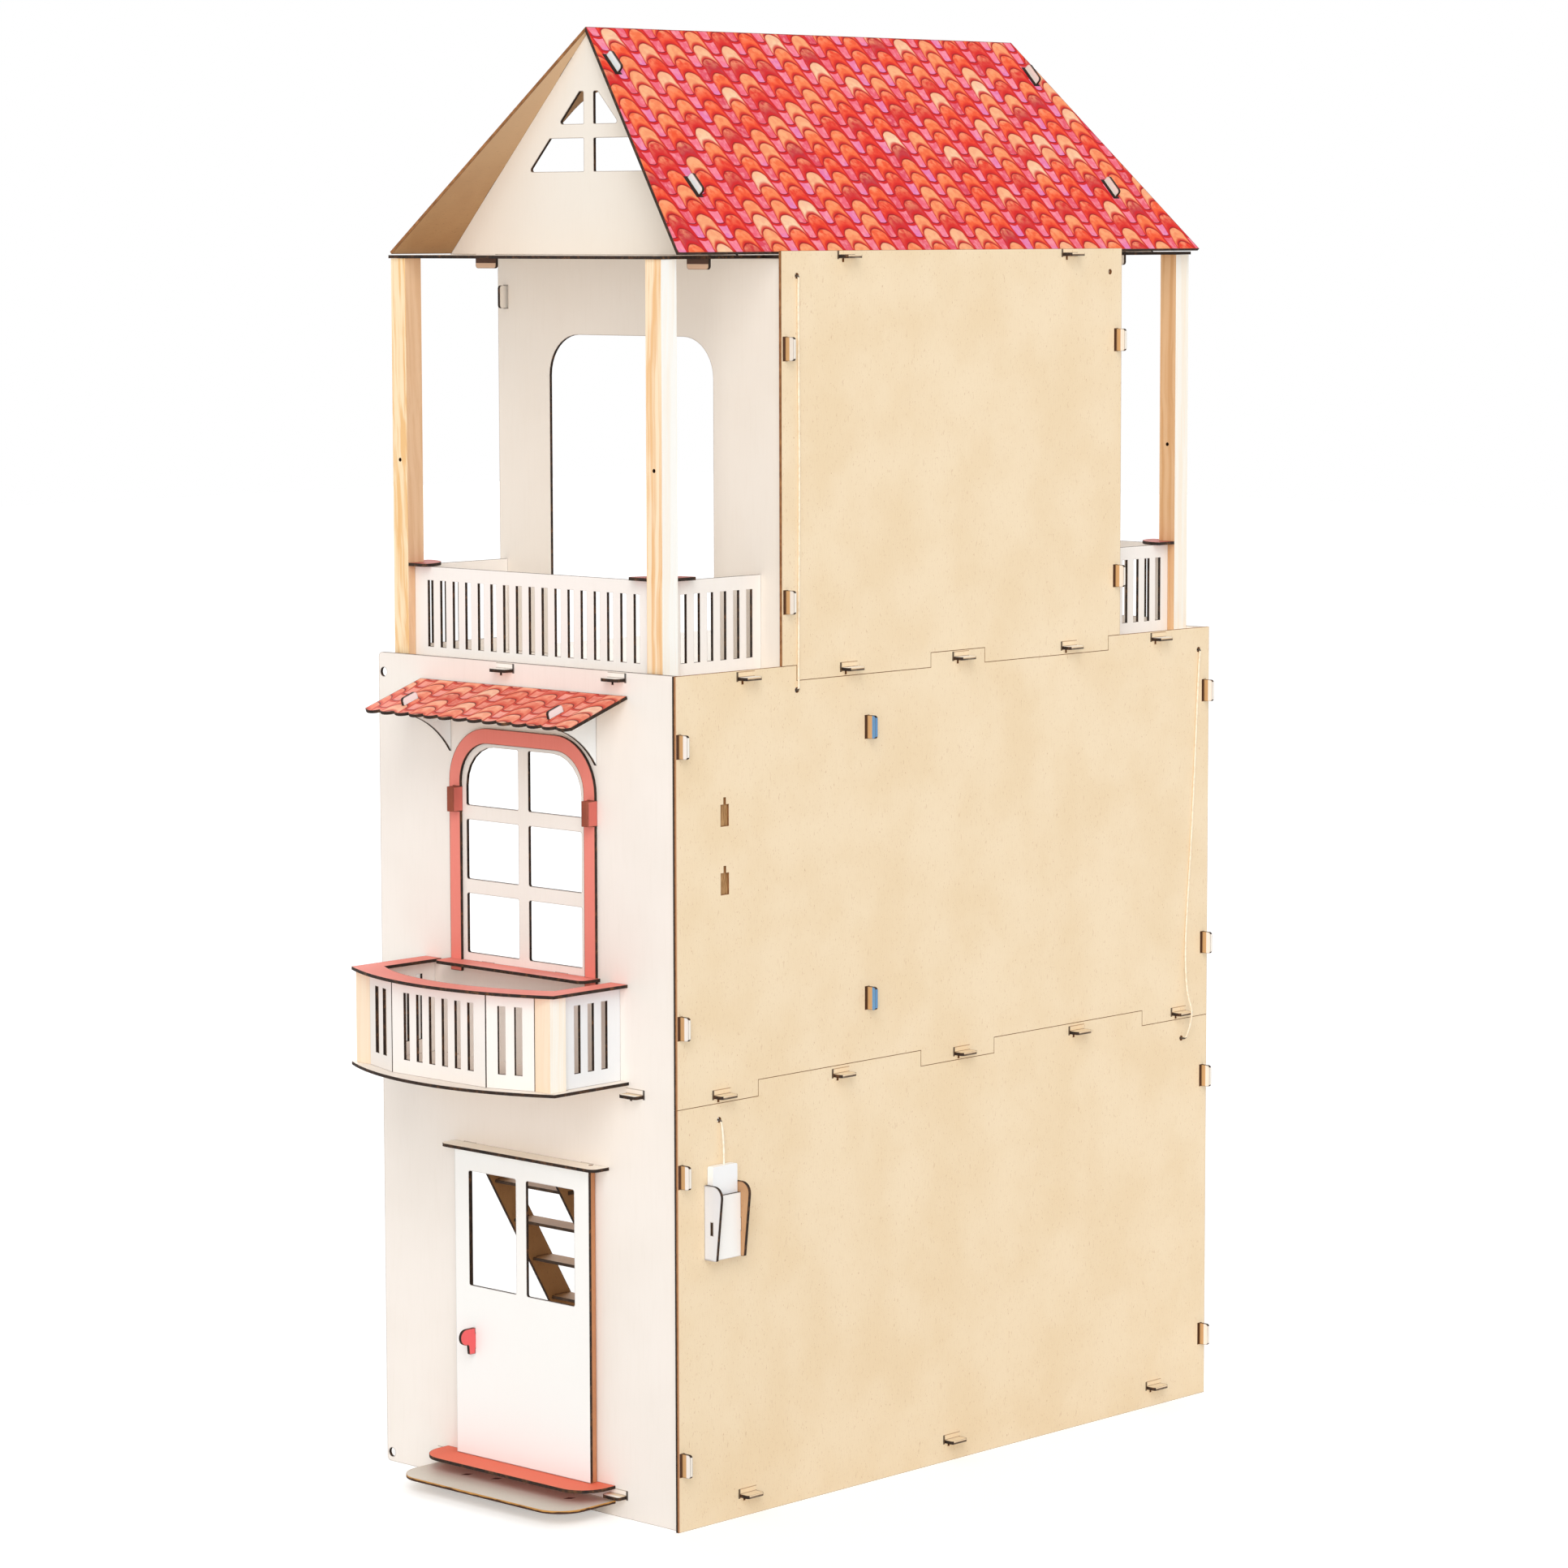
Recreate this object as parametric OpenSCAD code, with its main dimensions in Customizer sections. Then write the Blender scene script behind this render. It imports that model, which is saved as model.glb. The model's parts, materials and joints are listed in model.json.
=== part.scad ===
// Tall plywood dollhouse: two storeys, a third-storey room between two roof terraces, and a gabled tile roof.
// +X points out of the back wall, +Y runs from the facade to the far end, +Z is up. The play side is -X.

/* [Sheet] */
// Thickness of every cut sheet
ply = 3; // [2.5:0.5:4]
// Clearance on each side of a tab in its slot, and under a piece that stands on another
fit = 0.15; // [0.1:0.05:0.3]
// Length of a tab along its edge
tab_l = 22; // [18:1:24]
// How far a tab of the box stands out of the far face
tab_out = 11; // [6:1:14]
// Corner radius of a tab's outer end
tab_r = 3; // [1:0.5:4]
// Open gap beside an upright tab in its slot
hook_gap = 3; // [1.5:0.5:4]
// Width of the relief notch under a floor slot
relief_w = 2.4; // [1.5:0.1:3]
// Depth of the relief notch under a floor slot
relief_h = 3.5; // [2:0.5:4]

/* [Box] */
// Depth of the house, from the play side to the outer face of the back wall
house_w = 405; // [390:1:430]
// Length of the house
house_l = 774; // [760:1:820]
// Height of the base floor's underside above the ground
base_z = 18.5; // [16:0.5:22]
// From the base floor to the first floor
ground_h = 382; // [370:1:400]
// From the first floor to the terrace floor
first_h = 385; // [370:1:400]
// From the terrace floor to the attic floor
upper_h = 385.5; // [370:0.5:400]
// Height of the box walls above the underside of the terrace floor
lip = 9; // [8:0.5:16]
// From an end of the back wall to the outer face of an end wall
edge_inset = 5; // [5:0.5:12]
// From the play side to the free edge of a floor
floor_inset = 5; // [0:1:12]
// Corner radius at the free edge of the end walls
wall_corner_r = 5; // [2:1:10]
// Open joint between stacked back wall panels
seam_gap = 0.2; // [0.1:0.05:0.4]
// From a floor's underside down to the low steps of a seam
seam_drop = 5; // [4.5:0.5:6]
// From the first floor's underside up to the high steps of a seam
seam_rise = 10.5; // [8:0.5:14]
// Distance of the partition from the near end of the back wall
partition_y = 258.5; // [240:0.5:280]
// Depth of the partition from the back wall
partition_w = 240; // [200:5:300]
// Diameter of the holes for the lighting wires
wire_hole_d = 5; // [4:0.5:7]
// Diameter of the cord holes near the free edge of the facade
cord_hole_d = 9; // [6:0.5:10]

/* [Third storey] */
// Depth of each terrace
terrace_l = 142; // [130:1:155]
// Height of the back wall above the attic floor's underside
parapet = 7; // [5:0.5:9]
// Width of the arched doorway
arch_w = 220; // [180:5:240]
// Height of the doorway's top above the terrace floor
arch_h = 309; // [280:1:330]
// Corner radius of the doorway
arch_r = 39; // [20:1:60]
// From the play side to the free edge of the upper end walls
upper_inset = 21; // [15:1:25]
// Height of the beam over the open side of the upper room
beam_h = 60; // [50:1:70]
// How far the beam's tabs stand out of the end walls
beam_tab_out = 8; // [5:1:12]

/* [Terraces] */
// Side of the square posts
post_w = 20; // [16:1:24]
// From the play side to the posts, and from the back wall to the posts
post_inset = 20; // [17:1:24]
// Gap between a post and the raised lip of an end wall
post_gap = 0.3; // [0.2:0.1:2]
// Diameter of the peg hole in each post
peg_hole_d = 3.5; // [3:0.5:6]
// Depth of the peg hole
peg_hole_depth = 8; // [5:1:14]
// Height of the rails above the terrace floor
rail_h = 90; // [80:1:110]
// Width of a rail's slots
picket_gap = 8; // [6:0.5:10]
// Distance between the slots of a rail
picket_pitch = 17.4; // [15:0.1:22]
// Height of the rail below its slots
rail_foot = 13.5; // [10:0.5:20]
// Height of the rail above its slots
rail_head = 13; // [10:0.5:20]
// Radius of a corner cap, from the outer corner of its post
cap_r = 45; // [32:1:48]

/* [Roof] */
// From the play side to the eave above it
eave_play_inset = 13.5; // [8:0.5:18]
// From the back wall to the eave beside it
eave_back_inset = 2.5; // [1:0.5:6]
// Height of the ridge above the attic floor's underside
roof_rise = 215; // [195:1:230]
// Height of an eave above the attic floor's underside
eave_rise = 6; // [5:0.5:8]
// From the edges of the attic floor along the ends to the ends of the back wall
attic_inset = 6; // [2:1:8]
// Distance of the eaves' ends from the ends of the back wall
eave_inset = 13; // [8:1:20]
// Distance of the ridge's near end from the near end of the back wall
ridge_inset = 87; // [80:1:88]
// Distance of the ridge's far end from the far end of the back wall
ridge_far_inset = 81; // [76:1:82]
// Distance of the gables from the ends of the back wall
gable_inset = 90; // [89:1:96]
// Distance of the far gable from the far end of the back wall
gable_far_inset = 84; // [83:1:92]
// How far a gable's tabs stand out of the roof slopes
gable_tab_out = 7; // [4:1:10]
// How far a gable's tabs reach below the attic floor
gable_foot_out = 10; // [6:1:14]
// Length of a gable's foot tabs
gable_foot_l = 28; // [22:1:34]
// From the ridge down the play side's slope to its opening
hatch_top = 70; // [60:1:90]
// From the ridge down the play side's slope to the foot of its opening
hatch_foot = 235; // [200:1:250]
// From the ends of the play side's slope to its opening
hatch_inset = 74; // [60:1:90]
// Corner radius of the opening
hatch_r = 39; // [10:1:50]
// From an eave to the middle of a gable's foot tab
gable_foot_inset = 51; // [42:1:60]
// Half the width of the gable window at its sill
gable_window_w = 81; // [60:1:85]
// Height of the gable window's sill above the attic floor
gable_window_z = 78; // [60:1:85]
// Width of the gable window's bars
gable_bar = 13.3; // [8:0.1:16]

/* [Window] */
// Half the width of the window opening
window_w = 78; // [70:1:80]
// Height of the opening's sill above the first floor
window_z = 111; // [105:1:130]
// Height of the opening
window_h = 198; // [180:1:205]
// Radius of the opening's top corners
window_r = 38; // [25:1:45]
// Width of the bars
window_bar = 13.6; // [8:0.1:16]
// Rows of panes
window_rows = 3; // [2:1:4]
// From the opening to the inner edge of the frame
frame_gap = 6; // [4:0.5:8]
// Width of the frame
frame_w = 14.5; // [12:0.5:18]
// How far the frame's legs reach below the sill plate
frame_foot = 8; // [4:1:10]
// Depth of the sill plate
sill_d = 24; // [18:1:30]
// Length of the sill plate past the frame on each side
sill_over = 3; // [2:0.5:8]
// Width of the pegs that pin the frame
peg_w = 9; // [6:0.5:10]
// Height of the pegs
peg_h = 23.5; // [18:0.5:28]
// How far the pegs stand out of the frame
peg_out = 9.4; // [6:0.2:12]

/* [Awning] */
// Length of the awning along the facade
awning_l = 279; // [260:1:290]
// Depth of the awning along its slope
awning_d = 79; // [70:1:85]
// Slope of the awning
awning_a = 18.4; // [15:0.1:24]
// Height of the awning's top edge above the window opening
awning_z = 60; // [56:1:64]
// Number of scallops along the awning's edge
scallops = 14; // [10:1:18]
// Depth of a scallop
scallop_d = 4; // [3:0.5:5]
// Height of a bracket at the facade
bracket_h = 64; // [55:1:70]
// Reach of a bracket from the facade
bracket_reach = 66; // [50:1:68]
// How far a bracket's tab stands out of the awning
bracket_tab_out = 7; // [4:1:9]

/* [Balcony] */
// Height of the balcony floor above the underside of the first floor
balcony_z = 10.5; // [10:0.5:16]
// Height from the balcony floor to its cap
balcony_h = 88; // [80:1:88]
// Half the width across the side panels
balcony_w = 127.5; // [120:0.5:130]
// Depth of the side panels' front corner
balcony_side = 90; // [80:1:95]
// Depth of the front panel
balcony_front = 111; // [105:1:116]
// Half the width of the front panel
balcony_mid = 64; // [58:1:68]
// Width of a square corner post
corner_w = 20; // [16:1:22]
// How far a corner post stands out past the side panel
corner_over = 4.5; // [2:0.5:5]
// How far the floor and the cap reach past the side panels
balcony_over = 10; // [8:0.5:12]
// Bow of the floor's and the cap's front edge
balcony_bow = 36; // [30:1:40]
// Width of the cap
balcony_cap_w = 22; // [18:1:26]

/* [Door] */
// Width of the leaf
leaf_w = 183; // [170:1:190]
// Height of the leaf
leaf_h = 297.6; // [280:0.2:310]
// From the middle of the facade to the middle of the leaf
leaf_shift = 1.3; // [-2:0.1:4]
// Diameter of the pivot rod
rod_d = 7.4; // [7:0.1:7.6]
// Diameter of the pins at the rod's ends
pin_d = 4; // [3:0.5:4.5]
// Radial clearance of a pin in its hole
pin_play = 0.08; // [0.04:0.01:0.1]
// Running gap between the moving leaf and what it passes
door_gap = 0.5; // [0.4:0.1:1]
// Width of the leaf's glazing openings
light_w = 65; // [55:1:68]
// Height of the leaf's glazing openings
light_h = 111; // [90:1:130]
// Width of the bar between the glazing openings
light_bar = 14; // [10:1:20]
// From the leaf's top to its glazing openings
light_top = 21; // [15:1:30]
// Overlap of the leaf on the doorway
leaf_lap = 9.5; // [6:0.5:12]
// Height of the handle
handle_h = 25; // [20:1:32]
// How far the handle stands out of the leaf
handle_out = 18.8; // [14:0.2:24]
// From the leaf's free edge to the handle
handle_in = 24; // [18:1:28]
// Height of the handle's foot above the leaf's foot
handle_z = 100; // [90:1:130]
// Depth of the lintel plate
lintel_d = 21; // [18:1:26]
// Half the length of the lintel plate
lintel_w = 105; // [98:1:110]
// From the middle of the facade to the middle of the lintel plate
lintel_shift = 4; // [0:1:6]
// Half the length of the step plates
step_w = 115; // [105:1:125]
// Depth of the upper step plate
step_upper_d = 42; // [36:1:50]
// Depth of the lower step plate
step_lower_d = 72; // [60:1:80]
// Corner radius of the step plates
step_r = 30; // [15:1:36]
// Height of the upper step plate's underside
step_upper_z = 26; // [25:1:28]
// Height of the lower step plate's underside
step_lower_z = 12; // [10:0.5:13]

/* [Stair] */
// Width of the stair over its stringers
stair_w = 102; // [90:1:120]
// From the play side to the stair
stair_inset = 17; // [12:1:24]
// Number of treads
treads = 8; // [7:1:9]
// Distance of the stair's head from the near end of the back wall
stair_head_y = 46; // [40:1:60]
// Level length of the stair
stair_run = 226; // [200:1:240]
// Width of a stringer, level
stringer_w = 32; // [28:1:38]
// Depth of a tread
tread_d = 25; // [22:1:30]
// Height of the first tread's top above the ground floor
first_tread = 26.8; // [20:0.1:40]
// Height from tread to tread
tread_h = 43; // [40:0.5:44]
// Length of the stairwell in the first floor
stairwell_l = 110; // [90:1:130]

/* [Battery pocket] */
// Distance of the pocket from the near end of the back wall
pocket_y = 36; // [30:1:44]
// Width inside the pocket
pocket_w = 34; // [28:1:36]
// Height of the pocket's foot
pocket_z = 251.5; // [240:0.5:260]
// Height of the pocket's sides
pocket_h = 70; // [60:1:74]
// Reach of the sides at their top
pocket_out = 22.6; // [18:0.2:26]
// Reach of the sides at their foot
pocket_foot_out = 15; // [13:0.5:18]
// Corner radius at the head of the sides
pocket_r = 10; // [4:1:12]
// Distance from the wall to the front plate
pocket_gap = 8; // [7:0.5:9]
// Height of the front plate
pocket_front_h = 60; // [45:1:62]
// Thickness of the battery case
case_t = 7; // [5:0.5:7]
// Height of the battery case
case_h = 84; // [75:1:92]
// Thickness of a lighting wire
wire_d = 2; // [1.5:0.1:2.4]

/* [Hidden] */
$fn = 48;

// Colours
white = [0.95, 0.93, 0.90];
birch = [0.90, 0.80, 0.64];
pine = [0.93, 0.80, 0.60];
salmon = [0.85, 0.40, 0.36];
tile_red = [0.85, 0.30, 0.28];
brown = [0.55, 0.40, 0.27];
blue = [0.40, 0.60, 0.80];
shell = [0.97, 0.97, 0.97];

// Levels of the floors' undersides
first_z = base_z + ground_h;
terrace_z = first_z + first_h;
attic_z = terrace_z + upper_h;
wall_top = terrace_z + lip;
deck_z = terrace_z + ply;

// Planes of the upright sheets
mid_x = -house_w / 2;
mid_y = house_l / 2;
inner_x = -ply - fit;
facade_y = edge_inset;
far_wall_y = house_l - edge_inset - ply;
upper_front_y = terrace_l + edge_inset;
upper_far_y = house_l - terrace_l - edge_inset - ply;
play_x = -house_w + floor_inset;
upper_play_x = -house_w + upper_inset;

// Eaves, ridge and gables
eave_play_x = -house_w + eave_play_inset;
eave_back_x = -ply - eave_back_inset;
roof_x = (eave_play_x + eave_back_x) / 2;
roof_run = (eave_back_x - eave_play_x) / 2;
gable_foot_x = roof_run - gable_foot_inset;

// Centre lines that pieces share
window_x = mid_x - 2.5;
leaf_x = mid_x + leaf_shift;

// Places of the tabs in the back wall: from its near end, from its middle and from its far end
base_tabs = [93, mid_y - 6, house_l - 82];
first_tabs = [60, 222, mid_y + 8, house_l - 206, house_l - 45];
terrace_tabs = [94, 234, mid_y + 6, house_l - 220, house_l - 81];
attic_tabs = [231, house_l - 221];
// Places of the tabs in the end walls, from the middle
base_end_tabs = [-118.5, 118.5];
first_end_tabs = [-143.5, 0, 143.5];
terrace_end_tabs = [-26.5, 122.5];
// Steps of the two castellated seams of the back wall
lower_seam = [[108.5, mid_y - 52], [mid_y + 55.5, house_l - 104]];
upper_feet = [[162, mid_y - 38], [mid_y + 40.5, house_l - 160]];
foot_z = terrace_z - seam_drop;

// Heights of the end walls' upright tabs above their floors
ground_tabs = [base_z + 44.5, first_z - 67.5];
first_wall_tabs = [first_z + 70.5, terrace_z - 55.5];
upper_tabs = [terrace_z + 68.5, attic_z - 83];
beam_tab_z = attic_z - 38;
beam_x = upper_play_x + 8;

// Wire holes in the back wall: distance from the near end, height
wire_holes = [[163, attic_z - 16], [house_l - 160, attic_z - 16], [162, terrace_z - 14],
              [house_l - 17, terrace_z - 13.5], [56, first_z - 20.5], [house_l - 41, first_z - 25]];

// Terrace posts and rails
post_play_x = -house_w + post_inset;
post_back_x = -ply - post_inset - post_w;
post_front_y = facade_y + ply + post_gap;
post_far_y = far_wall_y - post_gap - post_w;
rail_top = deck_z + rail_h;
// Keeps the first and last slot of a rail this far from its ends
rail_margin = 14;

// Roof
roof_a = atan((roof_rise - eave_rise) / roof_run);
slope_l = roof_run / cos(roof_a);
ridge_z = attic_z + roof_rise;
gable_z = attic_z + ply + fit;
gable_apex = ridge_z - (ply + fit) / cos(roof_a);
gable_far_y = house_l - gable_far_inset - ply;
slope_tabs = [47, 202];

// Window
sill_z = first_z + ply + window_z;
pane_h = (window_h - (window_rows - 1) * window_bar) / window_rows;
frame_in = window_w + frame_gap;
frame_out = frame_in + frame_w;
frame_top = sill_z + window_h + 3.5 + frame_w;
frame_y = facade_y - ply - fit;
plate_z = sill_z - 10.5;
peg_z = sill_z + 0.74 * window_h;
// The pegs stand at the inner edge of the left leg and the outer edge of the right leg
peg_x = [window_x - frame_in - peg_w, window_x + frame_out - peg_w];

// Awning
awning_top = sill_z + window_h + awning_z;
awning_y = facade_y - ply * sin(awning_a) - fit;
bracket_x = [window_x - frame_out - ply, window_x + frame_out - ply];
bracket_tab_d = 52.5;
bracket_tab_l = 19;

// Balcony, in plan from the middle of the window at the facade
deck = first_z + balcony_z;
cap_z = deck + ply + balcony_h;
turn_a = atan((balcony_front - balcony_side) / (balcony_w - balcony_mid));
mitre = ply * tan(turn_a / 2) + fit;
deck_side = balcony_side + 5;

// Door
leaf_back_y = facade_y - 8;
leaf_z = step_upper_z + ply + door_gap;
lintel_z = leaf_z + leaf_h + door_gap;
rod_x = leaf_x + leaf_w / 2 - rod_d / 2;
rod_y = facade_y - door_gap - rod_d / 2;
doorway_z = step_upper_z + ply + 5;
doorway_h = leaf_z + leaf_h - leaf_lap - doorway_z;

// Stair
stair_x = -house_w + stair_inset;
stair_rise = first_z - base_z - ply;
stair_a = stair_rise / stair_run;

// Pocket
pocket_far_y = pocket_y + ply + pocket_w;

// Where the whole house stands in the row frame
pocket_a = atan((pocket_out - pocket_foot_out) / pocket_h);
pocket_reach = pocket_out - pocket_r * (tan(pocket_a) + 1 / cos(pocket_a) - cos(pocket_a));
x_mid = (pocket_reach - house_w) / 2;
y_near = facade_y - fit - deck_side - balcony_bow;
y_mid = (y_near + far_wall_y + ply + tab_out) / 2;

// ---------- shared outlines ----------

function unit(v) = v / norm(v);

// Points of one corner b between a and c, rounded with radius r
function corner(a, b, c, r, n) =
    r == 0 ? [b] :
    let (u = unit(a - b), w = unit(c - b), half = acos(u * w) / 2,
         m = b + unit(u + w) * (r / sin(half)),
         s = b + u * (r / tan(half)) - m,
         e = b + w * (r / tan(half)) - m,
         turn = atan2(cross(s, e), s * e))
    [for (i = [0:n]) let (t = turn * i / n)
        m + [s.x * cos(t) - s.y * sin(t), s.x * sin(t) + s.y * cos(t)]];

// Outline p with every corner rounded by r, or by its own entry of the list r
function rounded(p, r, n = 6) =
    [for (i = [0:len(p) - 1])
        each corner(p[(i + len(p) - 1) % len(p)], p[i], p[(i + 1) % len(p)], is_list(r) ? r[i] : r, n)];

// Shallow arc between (-half, 0) and (half, 0) that rises by bow
function bow_points(half, bow, n = 20) =
    let (r = (half * half + bow * bow) / (2 * bow), a = asin(half / r))
    [for (i = [0:n]) let (t = -a + 2 * a * i / n) [r * sin(t), bow - r + r * cos(t)]];

module placed() translate([-x_mid, -y_mid, 0]) children();

// Upright sheet across X: outline in (y, z), from x to x + ply
module sheet_x(x) translate([x, 0, 0]) rotate([90, 0, 90]) linear_extrude(ply) children();

// Upright sheet across Y: outline in (x, z), from y to y + ply
module sheet_y(y) translate([0, y + ply, 0]) rotate([90, 0, 0]) linear_extrude(ply) children();

// Level sheet: outline in (x, y), from z to z + ply
module sheet_z(z) translate([0, 0, z]) linear_extrude(ply) children();

// Rectangle between two corners
module box2(a, b) translate(a) square(b - a);

// Tab that points along +X, its root at x = 0 and sunk 1 mm into its sheet
module tab(out, l = tab_l, r = tab_r)
    polygon(rounded([[-1, -l / 2], [out, -l / 2], [out, l / 2], [-1, l / 2]], [0, r, r, 0], 4));

// Slot for a level sheet's tab, with the relief notch under it
module floor_slot(l = tab_l) {
    box2([-l / 2 - fit, -fit], [l / 2 + fit, ply + fit]);
    translate([-5 - relief_w / 2, -fit - relief_h]) square([relief_w, relief_h + 1]);
}

// Slot for an upright sheet's tab, open by hook_gap on its near side
module upright_slot(l = tab_l) box2([-hook_gap, -l / 2 - fit], [ply + fit, l / 2 + fit]);

// Plain slot for a short tab, centred, as wide as l
module plain_slot(l) box2([-l / 2 - fit, -fit], [l / 2 + fit, ply + fit]);

// ---------- floors ----------

// Level floor of the box with its tabs in the back wall and in both end walls
module box_floor(z, wall_tabs, end_tabs) {
    near = facade_y + ply + fit;
    far = far_wall_y - fit;
    sheet_z(z) difference() {
        union() {
            box2([play_x, near], [inner_x, far]);
            for (t = wall_tabs) translate([inner_x, t]) tab(tab_out + ply + fit);
            for (t = end_tabs) {
                translate([mid_x + t, near]) rotate(-90) tab(tab_out + ply + fit);
                translate([mid_x + t, far]) rotate(90) tab(tab_out + ply + fit);
            }
        }
        children();
    }
}

module base_floor() color(birch) placed() box_floor(base_z, base_tabs, base_end_tabs);

module first_floor() color(birch) placed() box_floor(first_z, first_tabs, first_end_tabs)
    translate([stair_x + ply, stair_head_y + stringer_w])
        polygon(rounded([[0, 0], [stair_w - 2 * ply, 0], [stair_w - 2 * ply, stairwell_l],
                         [0, stairwell_l]], 6));

module terrace_floor() color(birch) placed() box_floor(terrace_z, terrace_tabs, terrace_end_tabs);

// ---------- end walls of the box ----------

// Outline of an end wall: free edge on the play side, upright tabs on the back wall side
module end_wall_outline() {
    polygon(rounded([[-house_w, 0], [inner_x, 0], [inner_x, wall_top], [-house_w, wall_top]],
                    [wall_corner_r, 0, 0, wall_corner_r]));
    for (z = concat(ground_tabs, first_wall_tabs)) translate([inner_x, z]) tab(tab_out + ply + fit);
}

// Slots for the three floors in an end wall
module end_wall_slots() {
    for (t = base_end_tabs) translate([mid_x + t, base_z]) floor_slot();
    for (t = first_end_tabs) translate([mid_x + t, first_z]) floor_slot();
    for (t = terrace_end_tabs) translate([mid_x + t, terrace_z]) floor_slot();
}

// Glazed opening with an arched head, cut into panes by its bars
module window_panes() {
    pane_w = window_w - window_bar / 2;
    for (side = [-1, 1], row = [0:window_rows - 1]) {
        z = sill_z + row * (pane_h + window_bar);
        x0 = window_x + (side < 0 ? -window_w : window_bar / 2);
        head = row == window_rows - 1 ? window_r : 2;
        polygon(rounded([[x0, z], [x0 + pane_w, z], [x0 + pane_w, z + pane_h], [x0, z + pane_h]],
                        [2, 2, side > 0 ? head : 2, side < 0 ? head : 2]));
    }
}

// Short slots that hold the plates on the facade
plate_tab_l = 16;
sill_tabs = [-50, 50];
lintel_tabs = [-80, 80];
step_tabs = [-60, 60];
balcony_tabs = [-100, 100];
module peg_slots() for (x = peg_x)
    box2([x - fit, peg_z - peg_h / 2 - fit], [x + peg_w + fit, peg_z + peg_h / 2 + fit]);

module facade_plate_slots() {
    for (t = sill_tabs) translate([window_x + t, plate_z]) plain_slot(plate_tab_l);
    for (t = lintel_tabs) translate([mid_x + t, lintel_z]) plain_slot(plate_tab_l);
    for (t = step_tabs, z = [step_upper_z, step_lower_z])
        translate([mid_x + t, z]) plain_slot(plate_tab_l);
    for (t = balcony_tabs) translate([window_x + t, deck]) plain_slot(plate_tab_l);
    peg_slots();
}

module facade_wall() color(white) placed() sheet_y(facade_y) difference() {
    end_wall_outline();
    end_wall_slots();
    window_panes();
    facade_plate_slots();
    box2([leaf_x - leaf_w / 2 + leaf_lap, doorway_z],
         [leaf_x + leaf_w / 2 - leaf_lap, doorway_z + doorway_h]);
    for (z = [wall_top - cord_hole_d - 10, cord_hole_d])
        translate([-house_w + cord_hole_d / 2 + 2.5, z]) circle(d = cord_hole_d);
}

module far_end_wall() color(white) placed() sheet_y(far_wall_y) difference() {
    end_wall_outline();
    end_wall_slots();
}

// ---------- back wall ----------

// Slots of all floors and upright walls, in (y, z)
module back_wall_slots() {
    for (t = base_tabs) translate([t, base_z]) floor_slot();
    for (t = first_tabs) translate([t, first_z]) floor_slot();
    for (t = terrace_tabs) translate([t, terrace_z]) floor_slot();
    for (t = attic_tabs) translate([t, attic_z]) floor_slot();
    for (y = [facade_y, far_wall_y], z = concat(ground_tabs, first_wall_tabs))
        translate([y, z]) upright_slot();
    for (z = first_wall_tabs) translate([partition_y, z]) upright_slot();
    for (y = [upper_front_y, upper_far_y], z = upper_tabs) translate([y, z]) upright_slot();
    for (h = wire_holes) translate(h) circle(d = wire_hole_d);
}

// The parts of a panel between the pairs of places in steps, from z0 to z1, wider by grow at each end
module battlements(steps, z0, z1, grow = 0)
    for (s = steps) box2([s[0] - grow, z0], [s[1] + grow, z1]);

module back_wall_ground() color(birch) placed() sheet_x(-ply) difference() {
    union() {
        box2([0, 0], [house_l, first_z - seam_drop]);
        battlements(lower_seam, base_z, first_z + seam_rise);
    }
    back_wall_slots();
}

// Keyhole-shaped recess, in (y, z) from its lower near corner
keyhole_w = 10.5;
keyhole_h = 20;
keyhole_y = 59.5;
keyhole_z = [188.5, 252];
module keyhole() {
    square([keyhole_w, keyhole_h]);
    translate([keyhole_w / 2 - 1.5, keyhole_h - 1]) square([3, 7.5]);
}

module back_wall_first() color(birch) placed() difference() {
    sheet_x(-ply) difference() {
        box2([0, first_z - seam_drop + seam_gap], [house_l, wall_top]);
        battlements(lower_seam, base_z, first_z + seam_rise + seam_gap, seam_gap);
        battlements(upper_feet, foot_z - seam_gap, wall_top + 1, seam_gap);
        back_wall_slots();
    }
    for (z = keyhole_z) translate([-ply / 2, 0, 0]) sheet_x(0) translate([keyhole_y, first_z + z]) keyhole();
}

module back_wall_top() color(birch) placed() sheet_x(-ply) difference() {
    union() {
        box2([terrace_l, wall_top + seam_gap], [house_l - terrace_l, attic_z + parapet]);
        battlements(upper_feet, foot_z, attic_z);
    }
    back_wall_slots();
}

module partition_wall() color(blue) placed() sheet_y(partition_y) {
    box2([inner_x - partition_w, first_z + ply + fit], [inner_x, terrace_z - fit]);
    for (z = first_wall_tabs) translate([inner_x, z]) tab(tab_out + ply + fit);
}

// ---------- stair ----------

// Stringer outline in (y, z): a band that rises toward the facade, with the treads' slots
module stringer_outline() {
    z0 = base_z + ply + fit;
    z1 = first_z - fit;
    head = stair_head_y;
    foot = stair_head_y + stair_run;
    difference() {
        polygon(rounded([[foot, z0], [foot + stringer_w, z0], [head + stringer_w, z1], [head, z1]],
                        [2, 8, 2, 2]));
        for (i = [1:treads]) translate([tread_y(i) + tread_d / 2, tread_z(i)]) plain_slot(tread_d - 10);
    }
}

function tread_z(i) = base_z + first_tread + (i - 1) * tread_h;
function tread_y(i) = stair_head_y + stair_run - (first_tread + (i - 1) * tread_h) / stair_a
    + stringer_w - tread_d - 1.5;

module stair_stringer_left() color(brown) placed() sheet_x(stair_x) stringer_outline();

module stair_stringer_right() color(brown) placed() sheet_x(stair_x + stair_w - ply) stringer_outline();

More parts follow.
